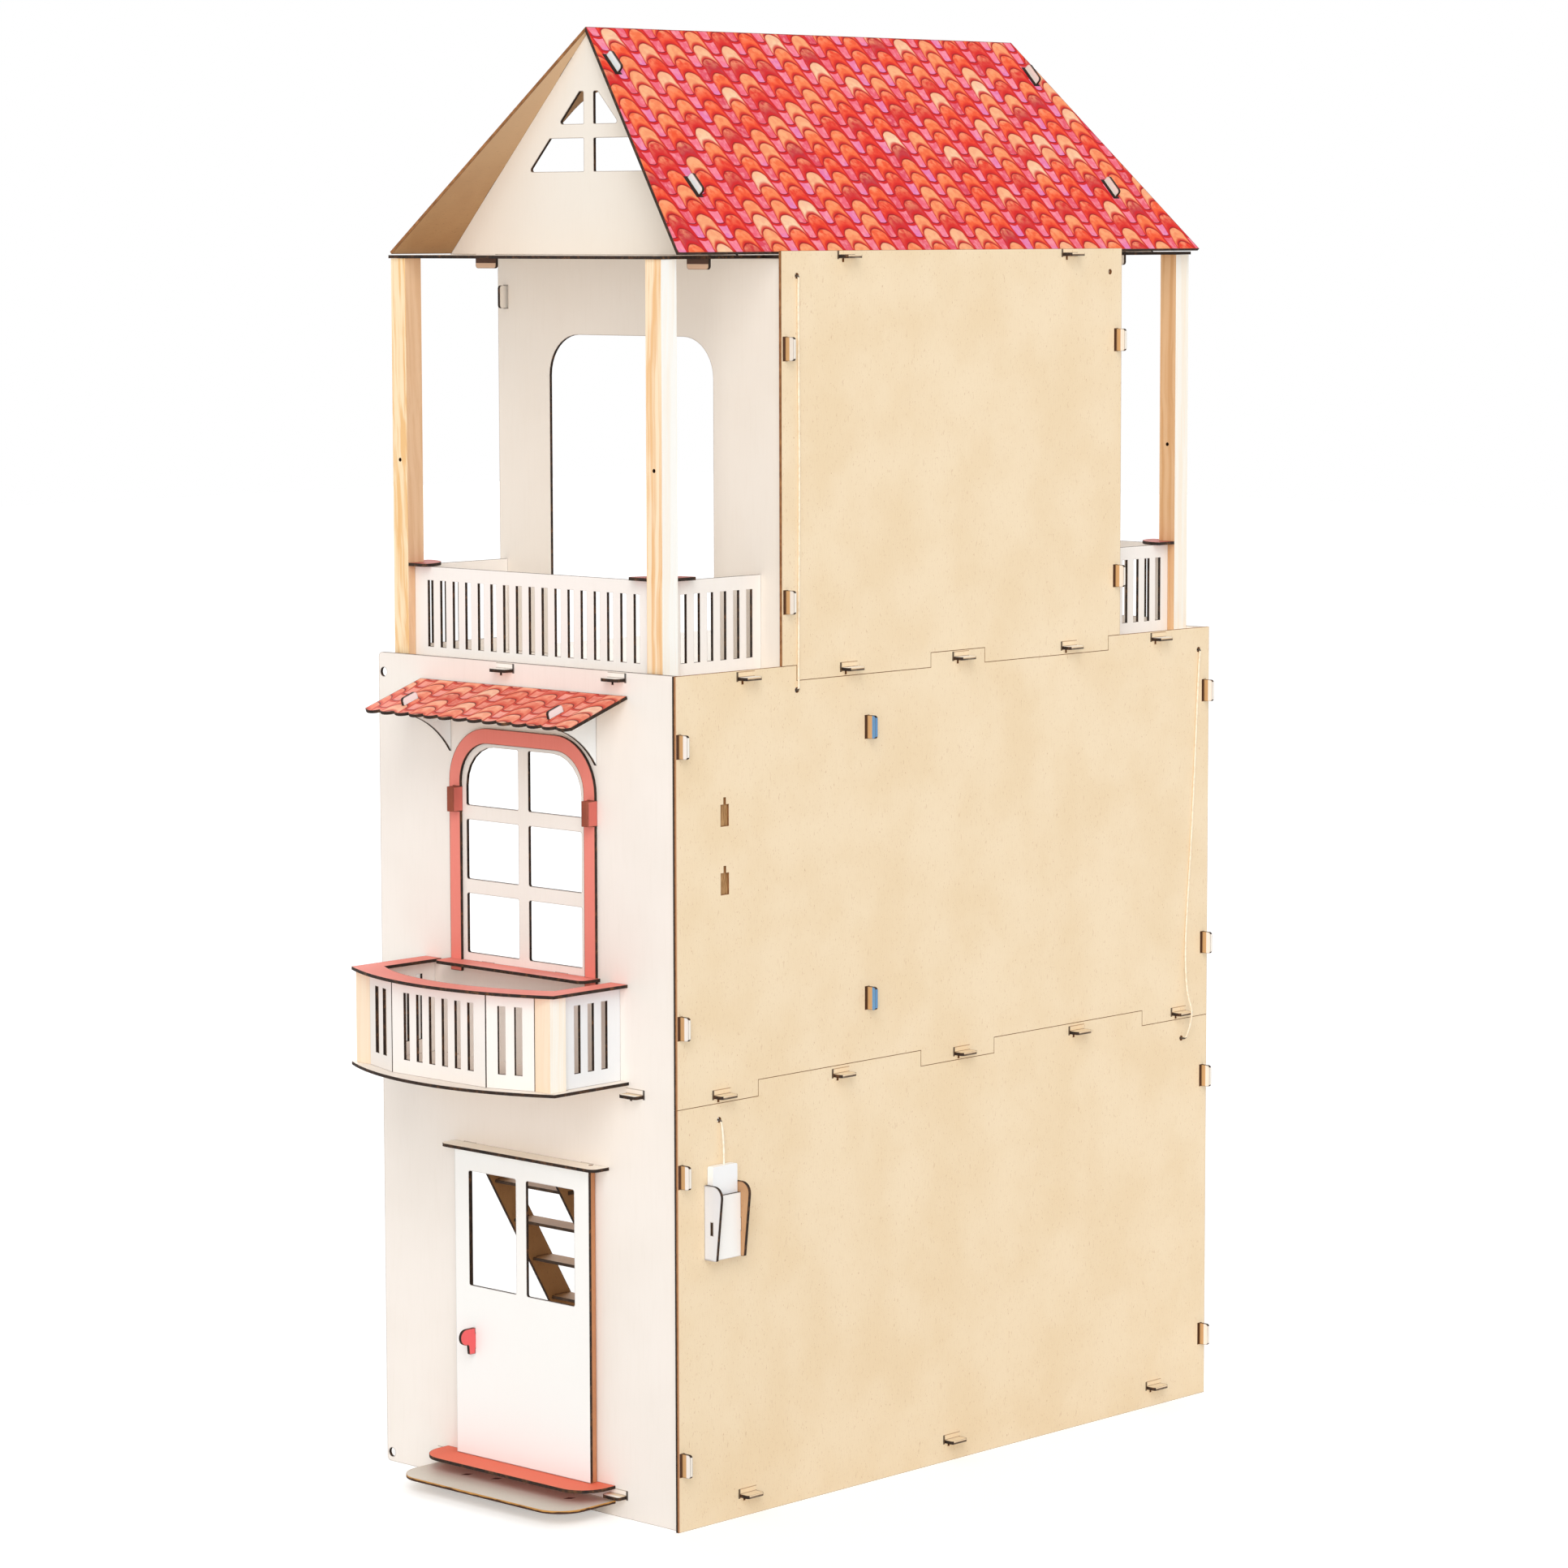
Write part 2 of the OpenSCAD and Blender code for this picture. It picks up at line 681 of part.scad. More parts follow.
module stair_treads() color(brown) placed()
    for (i = [1:treads]) sheet_z(tread_z(i)) {
        box2([stair_x + ply + fit, tread_y(i)], [stair_x + stair_w - ply - fit, tread_y(i) + tread_d]);
        box2([stair_x, tread_y(i) + 5], [stair_x + stair_w, tread_y(i) + tread_d - 5]);
    }

// ---------- third storey ----------

module upper_end_wall(y) sheet_y(y) difference() {
    union() {
        box2([upper_play_x, deck_z + fit], [inner_x, attic_z - fit]);
        for (z = upper_tabs) translate([inner_x, z]) tab(tab_out + ply + fit);
    }
    polygon(rounded([[mid_x - arch_w / 2, deck_z - 1], [mid_x + arch_w / 2, deck_z - 1],
                     [mid_x + arch_w / 2, deck_z + arch_h], [mid_x - arch_w / 2, deck_z + arch_h]],
                    [0, 0, arch_r, arch_r], 10));
    box2([beam_x - fit, beam_tab_z - tab_l / 2 - fit],
         [beam_x + ply + hook_gap, beam_tab_z + tab_l / 2 + fit]);
}

module upper_end_wall_front() color(white) placed() upper_end_wall(upper_front_y);

module upper_end_wall_far() color(white) placed() upper_end_wall(upper_far_y);

module upper_play_beam() color(white) placed() sheet_x(beam_x) {
    near = upper_front_y + ply + fit;
    far = upper_far_y - fit;
    box2([near, attic_z - beam_h], [far, attic_z - fit]);
    translate([near, beam_tab_z]) rotate(180) tab(beam_tab_out + ply + fit);
    translate([far, beam_tab_z]) tab(beam_tab_out + ply + fit);
}

module attic_floor() color(birch) placed() sheet_z(attic_z) difference() {
    union() {
        box2([post_play_x - 1, attic_inset], [post_back_x + post_w + 1, house_l - attic_inset]);
        box2([roof_x, terrace_l], [inner_x, house_l - terrace_l]);
        for (t = attic_tabs) translate([inner_x, t]) tab(tab_out + ply + fit);
    }
    for (y = [gable_inset, gable_far_y], side = [-1, 1])
        translate([roof_x + side * gable_foot_x, y]) plain_slot(gable_foot_l);
}

// ---------- roof ----------

// Gable under both slopes, with its tabs through them and through the attic floor
module gable(y) {
    half = (gable_apex - gable_z) / tan(roof_a);
    sheet_y(y) translate([roof_x, 0]) difference() {
        union() {
            polygon([[-half, gable_z], [half, gable_z], [0, gable_apex]]);
            for (side = [-1, 1]) {
                translate([side * gable_foot_x, gable_z]) rotate(-90)
                    tab(ply + fit + gable_foot_out, gable_foot_l);
                for (s = slope_tabs) mirror([side < 0 ? 1 : 0, 0])
                    translate([0, ridge_z]) rotate(-roof_a) translate([s, -ply - fit]) rotate(90)
                        tab(ply + fit + gable_tab_out);
            }
        }
        gable_panes();
    }
}

// Triangular window cut into four panes, from the middle of the gable
module gable_panes() {
    z0 = attic_z + ply + gable_window_z;
    lower_h = 31;
    z1 = z0 + lower_h;
    z2 = z1 + gable_bar;
    b = gable_bar / 2;
    w0 = gable_window_w;
    w1 = w0 - lower_h / tan(roof_a);
    w2 = w1 - gable_bar / tan(roof_a);
    top = z2 + (w2 - b) * tan(roof_a) - 6;
    for (side = [0, 1]) mirror([side, 0]) {
        polygon(rounded([[b, z0], [w0, z0], [w1, z1], [b, z1]], [1, 2, 1.5, 1]));
        polygon(rounded([[b, z2], [w2, z2], [w2 - (top - z2) / tan(roof_a), top], [b, top]],
                        [1, 2, 1.5, 1.5], 3));
    }
}

// Ends of a slope at the distance s down it
function near_end(s) = ridge_inset + (eave_inset - ridge_inset) * s / slope_l;
function far_end(s) = house_l - ridge_far_inset + (ridge_far_inset - eave_inset) * s / slope_l;

// Opening of the play side's slope, to reach into the attic
module hatch() {
    polygon(rounded([[hatch_top, near_end(hatch_top) + hatch_inset],
                     [hatch_foot, near_end(hatch_foot) + hatch_inset],
                     [hatch_foot, far_end(hatch_foot) - hatch_inset],
                     [hatch_top, far_end(hatch_top) - hatch_inset]],
                    [hatch_r, hatch_r, hatch_r, hatch_r]));
}

// One roof slope: a trapezoid that is shorter at the ridge, mitred along the ridge
module roof_slope(side) difference() {
    translate([roof_x, 0, ridge_z]) mirror([side < 0 ? 1 : 0, 0, 0]) rotate([0, roof_a, 0])
        translate([0, 0, -ply]) linear_extrude(ply) difference() {
            polygon([[0, ridge_inset], [slope_l, eave_inset], [slope_l, house_l - eave_inset],
                     [0, house_l - ridge_far_inset]]);
            for (y = [gable_inset, gable_far_y], s = slope_tabs)
                translate([s, y]) plain_slot(tab_l);
            if (side < 0) hatch();
        }
    translate([roof_x + (side < 0 ? -fit / 2 : fit / 2 - 20), 0, ridge_z - 20]) cube([20, house_l, 40]);
}

module gable_front() color(white) placed() gable(gable_inset);

module gable_far() color(white) placed() gable(gable_far_y);

module roof_slope_back() color(tile_red) placed() roof_slope(1);

module roof_slope_play() color(tile_red) placed() roof_slope(-1);

// ---------- terraces ----------

// Square post with a peg hole half way up its near face
module post(x, y) color(pine) placed() difference() {
    translate([x, y, deck_z + fit]) cube([post_w, post_w, attic_z - deck_z - 2 * fit]);
    translate([x + post_w / 2, y - 1, (deck_z + attic_z) / 2]) rotate([-90, 0, 0])
        cylinder(d = peg_hole_d, h = peg_hole_depth + 1);
}

module post_front_back() post(post_back_x, post_front_y);

module post_front_play() post(post_play_x, post_front_y);

module post_far_back() post(post_back_x, post_far_y);

module post_far_play() post(post_play_x, post_far_y);

// Rail outline from a to b with its row of upright slots
module rail_outline(a, b) {
    n = floor((b - a - 2 * rail_margin) / picket_pitch) + 1;
    difference() {
        box2([a, deck_z + fit], [b, rail_top]);
        for (i = [0:n - 1]) {
            c = (a + b) / 2 + (i - (n - 1) / 2) * picket_pitch;
            box2([c - picket_gap / 2, deck_z + rail_foot], [c + picket_gap / 2, rail_top - rail_head]);
        }
    }
}

// End rail between the two posts whose near face is at y
module end_rail(y) color(white) placed() sheet_y(y + (post_w - ply) / 2)
    rail_outline(post_play_x + post_w + fit, post_back_x - fit);

module end_rail_front() end_rail(post_front_y);

module end_rail_far() end_rail(post_far_y);

// Side rail from a to b in line with the post at x
module side_rail(x, a, b) color(white) placed() sheet_x(x + (post_w - ply) / 2)
    rail_outline(a + fit, b - fit);

module side_rail_front_back() side_rail(post_back_x, post_front_y + post_w, upper_front_y);

module side_rail_front_play() side_rail(post_play_x, post_front_y + post_w, upper_front_y);

module side_rail_far_back() side_rail(post_back_x, upper_far_y + ply, post_far_y);

module side_rail_far_play() side_rail(post_play_x, upper_far_y + ply, post_far_y);

// Cap on the rails: a quarter disc about its post's outer corner, cut out around the post
module corner_cap() {
    edge = post_w / 2 + fit;
    corner = -post_w / 2;
    arc = [for (a = [3:6:87]) [corner + cap_r * cos(a), corner + cap_r * sin(a)]];
    polygon(concat([[edge, corner], [corner + cap_r - 1.5, corner]],
                   arc,
                   [[corner, corner + cap_r - 1.5], [corner, edge], [edge, edge]]));
}

module rail_corner_caps() color(salmon) placed() sheet_z(rail_top + fit)
    for (x = [[post_play_x, 1], [post_back_x, -1]], y = [[post_front_y, 1], [post_far_y, -1]])
        translate([x[0] + post_w / 2, y[0] + post_w / 2]) scale([x[1], y[1]]) corner_cap();

// ---------- window and awning ----------

module window_frame() color(salmon) placed() sheet_y(frame_y) difference() {
    foot = plate_z - frame_foot;
    polygon(rounded([[window_x - frame_out, foot], [window_x + frame_out, foot],
                     [window_x + frame_out, frame_top], [window_x - frame_out, frame_top]],
                    [0, 0, window_r + frame_w, window_r + frame_w], 12));
    polygon(rounded([[window_x - frame_in, foot - 1], [window_x + frame_in, foot - 1],
                     [window_x + frame_in, frame_top - frame_w], [window_x - frame_in, frame_top - frame_w]],
                    [0, 0, window_r, window_r], 12));
    peg_slots();
}

// Pegs that pin the frame through the facade
module window_pegs() color(salmon) placed()
    for (x = peg_x) translate([x, 0, peg_z - peg_h / 2]) linear_extrude(peg_h)
        polygon(rounded([[0, frame_y - peg_out], [peg_w, frame_y - peg_out], [peg_w, facade_y + ply],
                         [0, facade_y + ply]], [2, 2, 0, 0], 4));

// Plate on the facade from x0 to x1 and depth d in front of it, with its front corners rounded and its tabs
module plate_outline(x0, x1, d, r, middle, tabs) {
    polygon(rounded([[x0, facade_y - fit], [x0, facade_y - d], [x1, facade_y - d], [x1, facade_y - fit]],
                    [0, r, r, 0], 10));
    for (t = tabs) box2([middle + t - plate_tab_l / 2, facade_y - fit - 1],
                        [middle + t + plate_tab_l / 2, facade_y + ply]);
}

module window_sill() color(salmon) placed() sheet_z(plate_z) difference() {
    reach = frame_out + sill_over;
    plate_outline(window_x - reach, window_x + reach, sill_d, 8, window_x, sill_tabs);
    for (side = [-1, 1]) {
        inner = window_x + side * frame_in;
        outer = window_x + side * frame_out;
        box2([min(inner, outer) - fit, frame_y - fit], [max(inner, outer) + fit, facade_y + 1]);
    }
}

// Moves an outline from the awning's plane, x along the facade and y along its slope, into the house
module awning_place() translate([window_x, awning_y, awning_top]) rotate([awning_a, 0, 0])
    translate([0, 0, -ply]) linear_extrude(ply) children();

module awning_panel() color(tile_red) placed() awning_place() difference() {
    pitch = awning_l / scallops;
    r = (pitch * pitch / 4 + scallop_d * scallop_d) / (2 * scallop_d);
    half = asin(pitch / 2 / r);
    edge = [for (i = [0:scallops - 1], k = [0:5])
        let (t = -half + 2 * half * k / 6)
        [-awning_l / 2 + (i + 0.5) * pitch + r * sin(t), -awning_d + r - r * cos(t)]];
    polygon(concat([[-awning_l / 2, 0]], edge, [[awning_l / 2, -awning_d + scallop_d], [awning_l / 2, 0]]));
    for (x = bracket_x) translate([x - window_x, -bracket_tab_d])
        box2([-fit, -bracket_tab_l / 2 - fit], [ply + fit, bracket_tab_l / 2 + fit]);
}

// Underside of the awning over the facade at y
function awning_under(y) = awning_top - (ply + fit) / cos(awning_a) + (y - awning_y) * tan(awning_a);

// Cove bracket under the awning, in (y, z), with its tab through the panel
module awning_bracket(x) sheet_x(x) {
    back = facade_y - fit;
    tip = back - bracket_reach;
    foot = awning_under(back) - bracket_h;
    chord = [tip - back, awning_under(tip) - 2 - foot];
    u = unit(chord);
    cove = [for (p = bow_points(norm(chord) / 2, 9, 10))
        [back, foot] + chord / 2 + u * p.x + [u.y, -u.x] * p.y];
    polygon(concat([[back, awning_under(back)]], cove, [[tip, awning_under(tip)]]));
    translate([awning_y, awning_top]) rotate(awning_a) translate([-bracket_tab_d, -ply - fit]) rotate(90)
        tab(ply + fit + bracket_tab_out, bracket_tab_l);
}

module awning_brackets() color(white) placed() for (x = bracket_x) awning_bracket(x);

// ---------- balcony ----------

// Outline with a bowed front edge, from the facade; half is its half width, side its depth at the corners
module bowed(half, side, bow) translate([window_x, facade_y - fit])
    polygon(concat([[half, 0]], [for (p = bow_points(half, bow)) [-p.x, -side - p.y]], [[-half, 0]]));

module balcony_floor() color(white) placed() sheet_z(deck) {
    bowed(balcony_w + balcony_over + 1, deck_side, balcony_bow);
    for (t = balcony_tabs) translate([window_x + t - plate_tab_l / 2, facade_y - 1 - fit])
        square([plate_tab_l, ply + 1 + fit]);
}

module balcony_cap() color(salmon) placed() sheet_z(cap_z) difference() {
    bowed(balcony_w + balcony_over, deck_side, balcony_bow - 2);
    translate([0, 1]) bowed(balcony_w + balcony_over - balcony_cap_w, deck_side + 1 - balcony_cap_w,
                            balcony_bow - 4);
}

// Upright slotted panel from x = 0 to l with its outer face at y = 0, standing on the balcony floor
module slotted_panel(l, centres) {
    z0 = deck + ply + fit;
    z1 = cap_z - fit;
    translate([0, ply, 0]) rotate([90, 0, 0]) linear_extrude(ply) difference() {
        box2([0, z0], [l, z1]);
        for (c = centres)
            box2([c - picket_gap / 2, z0 + rail_foot], [c + picket_gap / 2, z1 - rail_head + 2]);
    }
}

module balcony_panel_middle() color(white) placed()
    translate([window_x - balcony_mid + mitre, facade_y - balcony_front, 0])
        slotted_panel(2 * (balcony_mid - mitre),
                      [for (i = [-2.5:2.5]) balcony_mid - mitre + i * picket_pitch]);

// Angled panel from the fold beside the front panel to the corner post; side is 1 for +X
module balcony_angled(side) translate([window_x, facade_y, 0]) scale([side, 1, 1])
    translate([balcony_mid, -balcony_front, 0]) rotate([0, 0, turn_a]) translate([mitre, 0, 0])
        slotted_panel((balcony_w + corner_over - corner_w - fit - balcony_mid) / cos(turn_a) - mitre,
                      [for (i = [0, 1]) 16.5 - mitre + i * picket_pitch]);

module balcony_panel_left() color(white) placed() balcony_angled(-1);

module balcony_panel_right() color(white) placed() balcony_angled(1);

// Side panel from the facade to the corner post
module balcony_flank(side) translate([window_x, facade_y, 0]) scale([side, 1, 1])
    translate([balcony_w, -balcony_side - corner_over + corner_w + fit, 0]) rotate([0, 0, 90])
        slotted_panel(balcony_side + corner_over - corner_w - 2 * fit,
                      [for (i = [-1:1]) (balcony_side + corner_over - corner_w) / 2 - 1 + i * picket_pitch]);

module balcony_side_left() color(white) placed() balcony_flank(-1);

module balcony_side_right() color(white) placed() balcony_flank(1);

// Square corner post
module balcony_corner(side) translate([window_x, facade_y, deck + ply + fit]) scale([side, 1, 1])
    translate([balcony_w + corner_over - corner_w, -balcony_side - corner_over, 0])
        cube([corner_w, corner_w, balcony_h - 2 * fit]);

module balcony_corner_left() color(pine) placed() balcony_corner(-1);

module balcony_corner_right() color(pine) placed() balcony_corner(1);

// ---------- door ----------

module door_leaf() color(white) placed() sheet_y(leaf_back_y - ply) difference() {
    x0 = leaf_x - leaf_w / 2;
    z1 = leaf_z + leaf_h - light_top;
    stile = (leaf_w - 2 * light_w - light_bar) / 2;
    box2([x0, leaf_z], [x0 + leaf_w, leaf_z + leaf_h]);
    for (i = [0, 1]) translate([x0 + stile + i * (light_w + light_bar), z1 - light_h])
        polygon(rounded([[0, 0], [light_w, 0], [light_w, light_h], [0, light_h]], 2, 3));
    handle_slot();
}

// Slot in the leaf for the handle's tab
handle_x = leaf_x - leaf_w / 2 + handle_in;
module handle_slot() translate([handle_x, leaf_z + handle_z])
    box2([-fit, 5 - fit], [ply + fit, handle_h - 5 + fit]);

// Rod behind the leaf's edge, flat where the leaf is glued to it, with a pin at each end
module door_pivot_rod() color(pine) placed() translate([rod_x, rod_y, 0]) {
    flat = rod_y - leaf_back_y - fit / 3;
    translate([0, 0, leaf_z]) {
        cylinder(d = rod_d, h = leaf_h);
        translate([-rod_d / 2, -flat, 0]) cube([rod_d, flat, leaf_h]);
    }
    translate([0, 0, step_upper_z + 0.3]) cylinder(d = pin_d, h = lintel_z + ply - step_upper_z - 0.6);
}

// Handle plate that stands out of the leaf: a round nose over a narrow shank, in (y, z)
module door_handle() color(salmon) placed() sheet_x(handle_x) {
    front = leaf_back_y - ply - fit;
    z0 = leaf_z + handle_z;
    nose = handle_h * 0.62;
    polygon(rounded([[front, z0], [front, z0 + handle_h], [front - handle_out, z0 + handle_h],
                     [front - handle_out, z0 + handle_h - nose],
                     [front - handle_out * 0.45, z0 + handle_h - nose], [front - handle_out * 0.4, z0]],
                    [0.5, 0.5, nose * 0.49, nose * 0.49, 2, 1]));
    box2([front - 1, z0 + 5], [leaf_back_y, z0 + handle_h - 5]);
}

module door_lintel() color(birch) placed() difference() {
    middle = mid_x + lintel_shift;
    sheet_z(lintel_z) plate_outline(middle - lintel_w, middle + lintel_w, lintel_d, 8, mid_x, lintel_tabs);
    pin_hole(lintel_z);
}

// Running hole for the rod's pin through a plate whose underside is at z
module pin_hole(z) translate([rod_x, rod_y, z - 1]) cylinder(r = pin_d / 2 + pin_play, h = ply + 2);

module door_step_upper() color(salmon) placed() difference() {
    sheet_z(step_upper_z)
        plate_outline(mid_x - step_w, mid_x + step_w, step_upper_d, step_r, mid_x, step_tabs);
    pin_hole(step_upper_z);
}

module door_step_lower() color(white) placed() sheet_z(step_lower_z)
    plate_outline(mid_x - step_w, mid_x + step_w, step_lower_d, step_r, mid_x, step_tabs);

// ---------- battery pocket and wires ----------

// Side of the pocket, in (x, z): wider at its head, with the slot for the front plate's tab
pocket_tab_l = 12;
pocket_tab_z = pocket_z + 30;
module pocket_side(y) color(white) placed() sheet_y(y) difference() {
    polygon(rounded([[fit, pocket_z], [pocket_foot_out, pocket_z], [pocket_out, pocket_z + pocket_h],
                     [fit, pocket_z + pocket_h]], [0.5, 1, pocket_r, 0.5]));
    box2([pocket_gap - fit, pocket_tab_z - pocket_tab_l / 2 - fit],
         [pocket_gap + ply + fit, pocket_tab_z + pocket_tab_l / 2 + fit]);
}

module pocket_side_near() pocket_side(pocket_y);

module pocket_side_far() pocket_side(pocket_far_y);

module pocket_front() color(white) placed() sheet_x(pocket_gap) {
    box2([pocket_y + ply + fit, pocket_z], [pocket_far_y - fit, pocket_z + pocket_front_h]);
    box2([pocket_y, pocket_tab_z - pocket_tab_l / 2], [pocket_far_y + ply, pocket_tab_z + pocket_tab_l / 2]);
}

module pocket_floor() color(birch) placed() sheet_z(pocket_z)
    box2([fit, pocket_y + ply + fit], [pocket_gap - fit, pocket_far_y - fit]);

case_x = (pocket_gap - case_t) / 2;
case_y = pocket_y + ply + 0.75;
case_z = pocket_z + ply + fit;
module battery_case() color(shell) placed() translate([case_x, 0, case_z]) rotate([90, 0, 90])
    linear_extrude(case_t) translate([case_y, 0])
        polygon(rounded([[0, 0], [pocket_w - 1.5, 0], [pocket_w - 1.5, case_h], [0, case_h]], 2, 4));

// Round tube swept along points that never run along Y
module wire(points) {
    sides = 8;
    n = len(points);
    dirs = [for (i = [0:n - 1]) unit(points[min(i + 1, n - 1)] - points[max(i - 1, 0)])];
    rings = [for (i = [0:n - 1]) let (a = unit(cross(dirs[i], [0, 1, 0])), b = cross(dirs[i], a))
        for (k = [0:sides - 1]) let (t = 360 * k / sides) points[i] + wire_d / 2 * (a * cos(t) + b * sin(t))];
    walls = [for (i = [0:n - 2], k = [0:sides - 1])
        [i * sides + k, i * sides + (k + 1) % sides, (i + 1) * sides + (k + 1) % sides, (i + 1) * sides + k]];
    caps = [[for (k = [sides - 1:-1:0]) k], [for (k = [0:sides - 1]) (n - 1) * sides + k]];
    polyhedron(rings, concat(walls, caps));
}

// Smooth curve through the corner points p, each corner cut by a short quadratic bend
function bends(p, cut = 0.4, n = 4) = concat([p[0]],
    [for (i = [1:len(p) - 2], k = [0:n])
        let (a = p[i] + (p[i - 1] - p[i]) * cut, b = p[i], c = p[i] + (p[i + 1] - p[i]) * cut, t = k / n)
        a * (1 - t) * (1 - t) + 2 * b * t * (1 - t) + c * t * t],
    [p[len(p) - 1]]);

// Place on the wires' routes: x off the wall, and a wire hole or a point (y, z)
wire_x = wire_d / 2 + 0.05;
bend_x = wire_x + 1.7;
case_lead_y = (pocket_y + pocket_far_y) / 2 + 3.5;
function on_wall(p, x = wire_x) = [x, p.x, p.y];

module wire_upper() color(shell) placed() wire(bends([
    on_wall(wire_holes[0], -2.5), on_wall(wire_holes[0], bend_x), on_wall([163.5, attic_z - 30]),
    on_wall([165, attic_z - 200]), on_wall([163, terrace_z]),
    on_wall(wire_holes[2], bend_x), on_wall(wire_holes[2], -2.5)]));

module wire_lower() color(shell) placed() wire(bends([
    on_wall(wire_holes[3], -2.5), on_wall(wire_holes[3], bend_x), on_wall([house_l - 17.5, terrace_z - 28]),
    on_wall([house_l - 26, first_z + 200]), on_wall([house_l - 37, first_z + 70]),
    on_wall([house_l - 40, first_z + 25], 6), on_wall([house_l - 40.5, first_z + 4], tab_out + 3),
    on_wall([house_l - 41, first_z - 10], tab_out + 1), on_wall(wire_holes[5], 6),
    on_wall(wire_holes[5], -2.5)], 0.35));

module wire_pocket() color(shell) placed() wire(bends([
    on_wall(wire_holes[4], -2.5), on_wall(wire_holes[4], 2.5), on_wall(wire_holes[4] + [0.5, -9.5], 4),
    on_wall([case_lead_y, case_z + case_h + 14], case_x + case_t / 2),
    on_wall([case_lead_y, case_z + case_h + 0.1], case_x + case_t / 2)]));

base_floor();
first_floor();
terrace_floor();
facade_wall();
far_end_wall();
back_wall_ground();
back_wall_first();
back_wall_top();
partition_wall();
stair_stringer_left();
stair_stringer_right();
stair_treads();
upper_end_wall_front();
upper_end_wall_far();
upper_play_beam();
attic_floor();
gable_front();
gable_far();
roof_slope_back();
roof_slope_play();
post_front_back();
post_front_play();
post_far_back();
post_far_play();
end_rail_front();
end_rail_far();
side_rail_front_back();
side_rail_front_play();
side_rail_far_back();
side_rail_far_play();
rail_corner_caps();
window_frame();
window_pegs();
window_sill();
awning_panel();
awning_brackets();
balcony_floor();
balcony_panel_middle();
balcony_panel_left();
balcony_panel_right();
balcony_side_left();
balcony_side_right();
balcony_corner_left();
balcony_corner_right();
balcony_cap();
door_leaf();
door_pivot_rod();
door_handle();
door_lintel();
door_step_upper();
door_step_lower();
pocket_side_near();
pocket_side_far();
pocket_front();
pocket_floor();
battery_case();
wire_upper();
wire_lower();
wire_pocket();
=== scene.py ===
"""Looks of the wooden doll's house: cut and scorched ply sheets, pine posts, printed tiles on the
roof and the awning, and three leads along its back. Lengths are in millimetres, which at() and MM
turn into metres."""

import json
import math

import bmesh
import bpy
from mathutils import Matrix, Vector

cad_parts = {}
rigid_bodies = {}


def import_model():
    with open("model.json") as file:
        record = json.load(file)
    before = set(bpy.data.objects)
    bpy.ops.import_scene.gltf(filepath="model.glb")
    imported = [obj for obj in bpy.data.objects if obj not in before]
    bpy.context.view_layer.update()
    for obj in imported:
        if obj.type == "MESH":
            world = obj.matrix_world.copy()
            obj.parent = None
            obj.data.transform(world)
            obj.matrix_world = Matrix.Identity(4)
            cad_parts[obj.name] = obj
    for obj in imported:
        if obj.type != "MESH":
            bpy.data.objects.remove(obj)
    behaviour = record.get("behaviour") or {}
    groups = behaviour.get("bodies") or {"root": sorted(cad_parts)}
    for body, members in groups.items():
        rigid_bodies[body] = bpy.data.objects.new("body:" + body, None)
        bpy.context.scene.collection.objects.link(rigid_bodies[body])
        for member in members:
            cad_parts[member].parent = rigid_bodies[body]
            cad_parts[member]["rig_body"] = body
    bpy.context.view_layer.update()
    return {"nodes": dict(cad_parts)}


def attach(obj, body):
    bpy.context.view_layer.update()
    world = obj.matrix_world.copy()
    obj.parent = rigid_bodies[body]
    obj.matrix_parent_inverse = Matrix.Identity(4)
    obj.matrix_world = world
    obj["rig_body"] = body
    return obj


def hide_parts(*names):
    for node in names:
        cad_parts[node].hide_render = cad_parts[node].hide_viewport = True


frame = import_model()

MM = 0.001
PLY = 3.0
# Where the house's own origin, the foot of its near back corner, stands in the shared frame
HOUSE = Vector((191.80145, -326.925, 0.0))
# The roof's ridge, as its distance from the back wall and its height, and the pitch of the slopes
RIDGE_X, RIDGE_Z = 198.5, 1386.0
ROOF_PITCH = math.radians(47.28)


def at(x, y, z):
    """A place in millimetres from the house's near back corner, as metres in the shared frame"""
    return (Vector((x, y, z)) + HOUSE) * MM


# ---------- camera ----------

def place_camera():
    """A long lens four and a half metres off the house's near back corner, looking a little down"""
    data = bpy.data.cameras.new("camera")
    data.sensor_width = 36.0
    data.lens = 115.435
    data.clip_start = 0.1
    data.clip_end = 60.0
    camera = bpy.data.objects.new("camera", data)
    right = Vector((0.72634289, 0.68732844, -0.00237139))
    up = Vector((-0.07413593, 0.08177314, 0.99388984))
    forward = Vector((-0.68332267, 0.72172901, -0.11035107))
    turn = Matrix((right, up, -forward)).transposed()
    camera.matrix_world = Matrix.Translation(at(3194.582, -3229.922, 1200.869)) @ turn.to_4x4()
    bpy.context.scene.collection.objects.link(camera)
    bpy.context.scene.camera = camera


place_camera()


# ---------- patterns: arithmetic inside a material ----------

def srgb(red, green, blue):
    """A colour as a mixing desk names it, 0 to 255, in the renderer's linear units"""
    def one(c):
        c /= 255.0
        return c / 12.92 if c <= 0.04045 else ((c + 0.055) / 1.055) ** 2.4
    return (one(red), one(green), one(blue), 1.0)


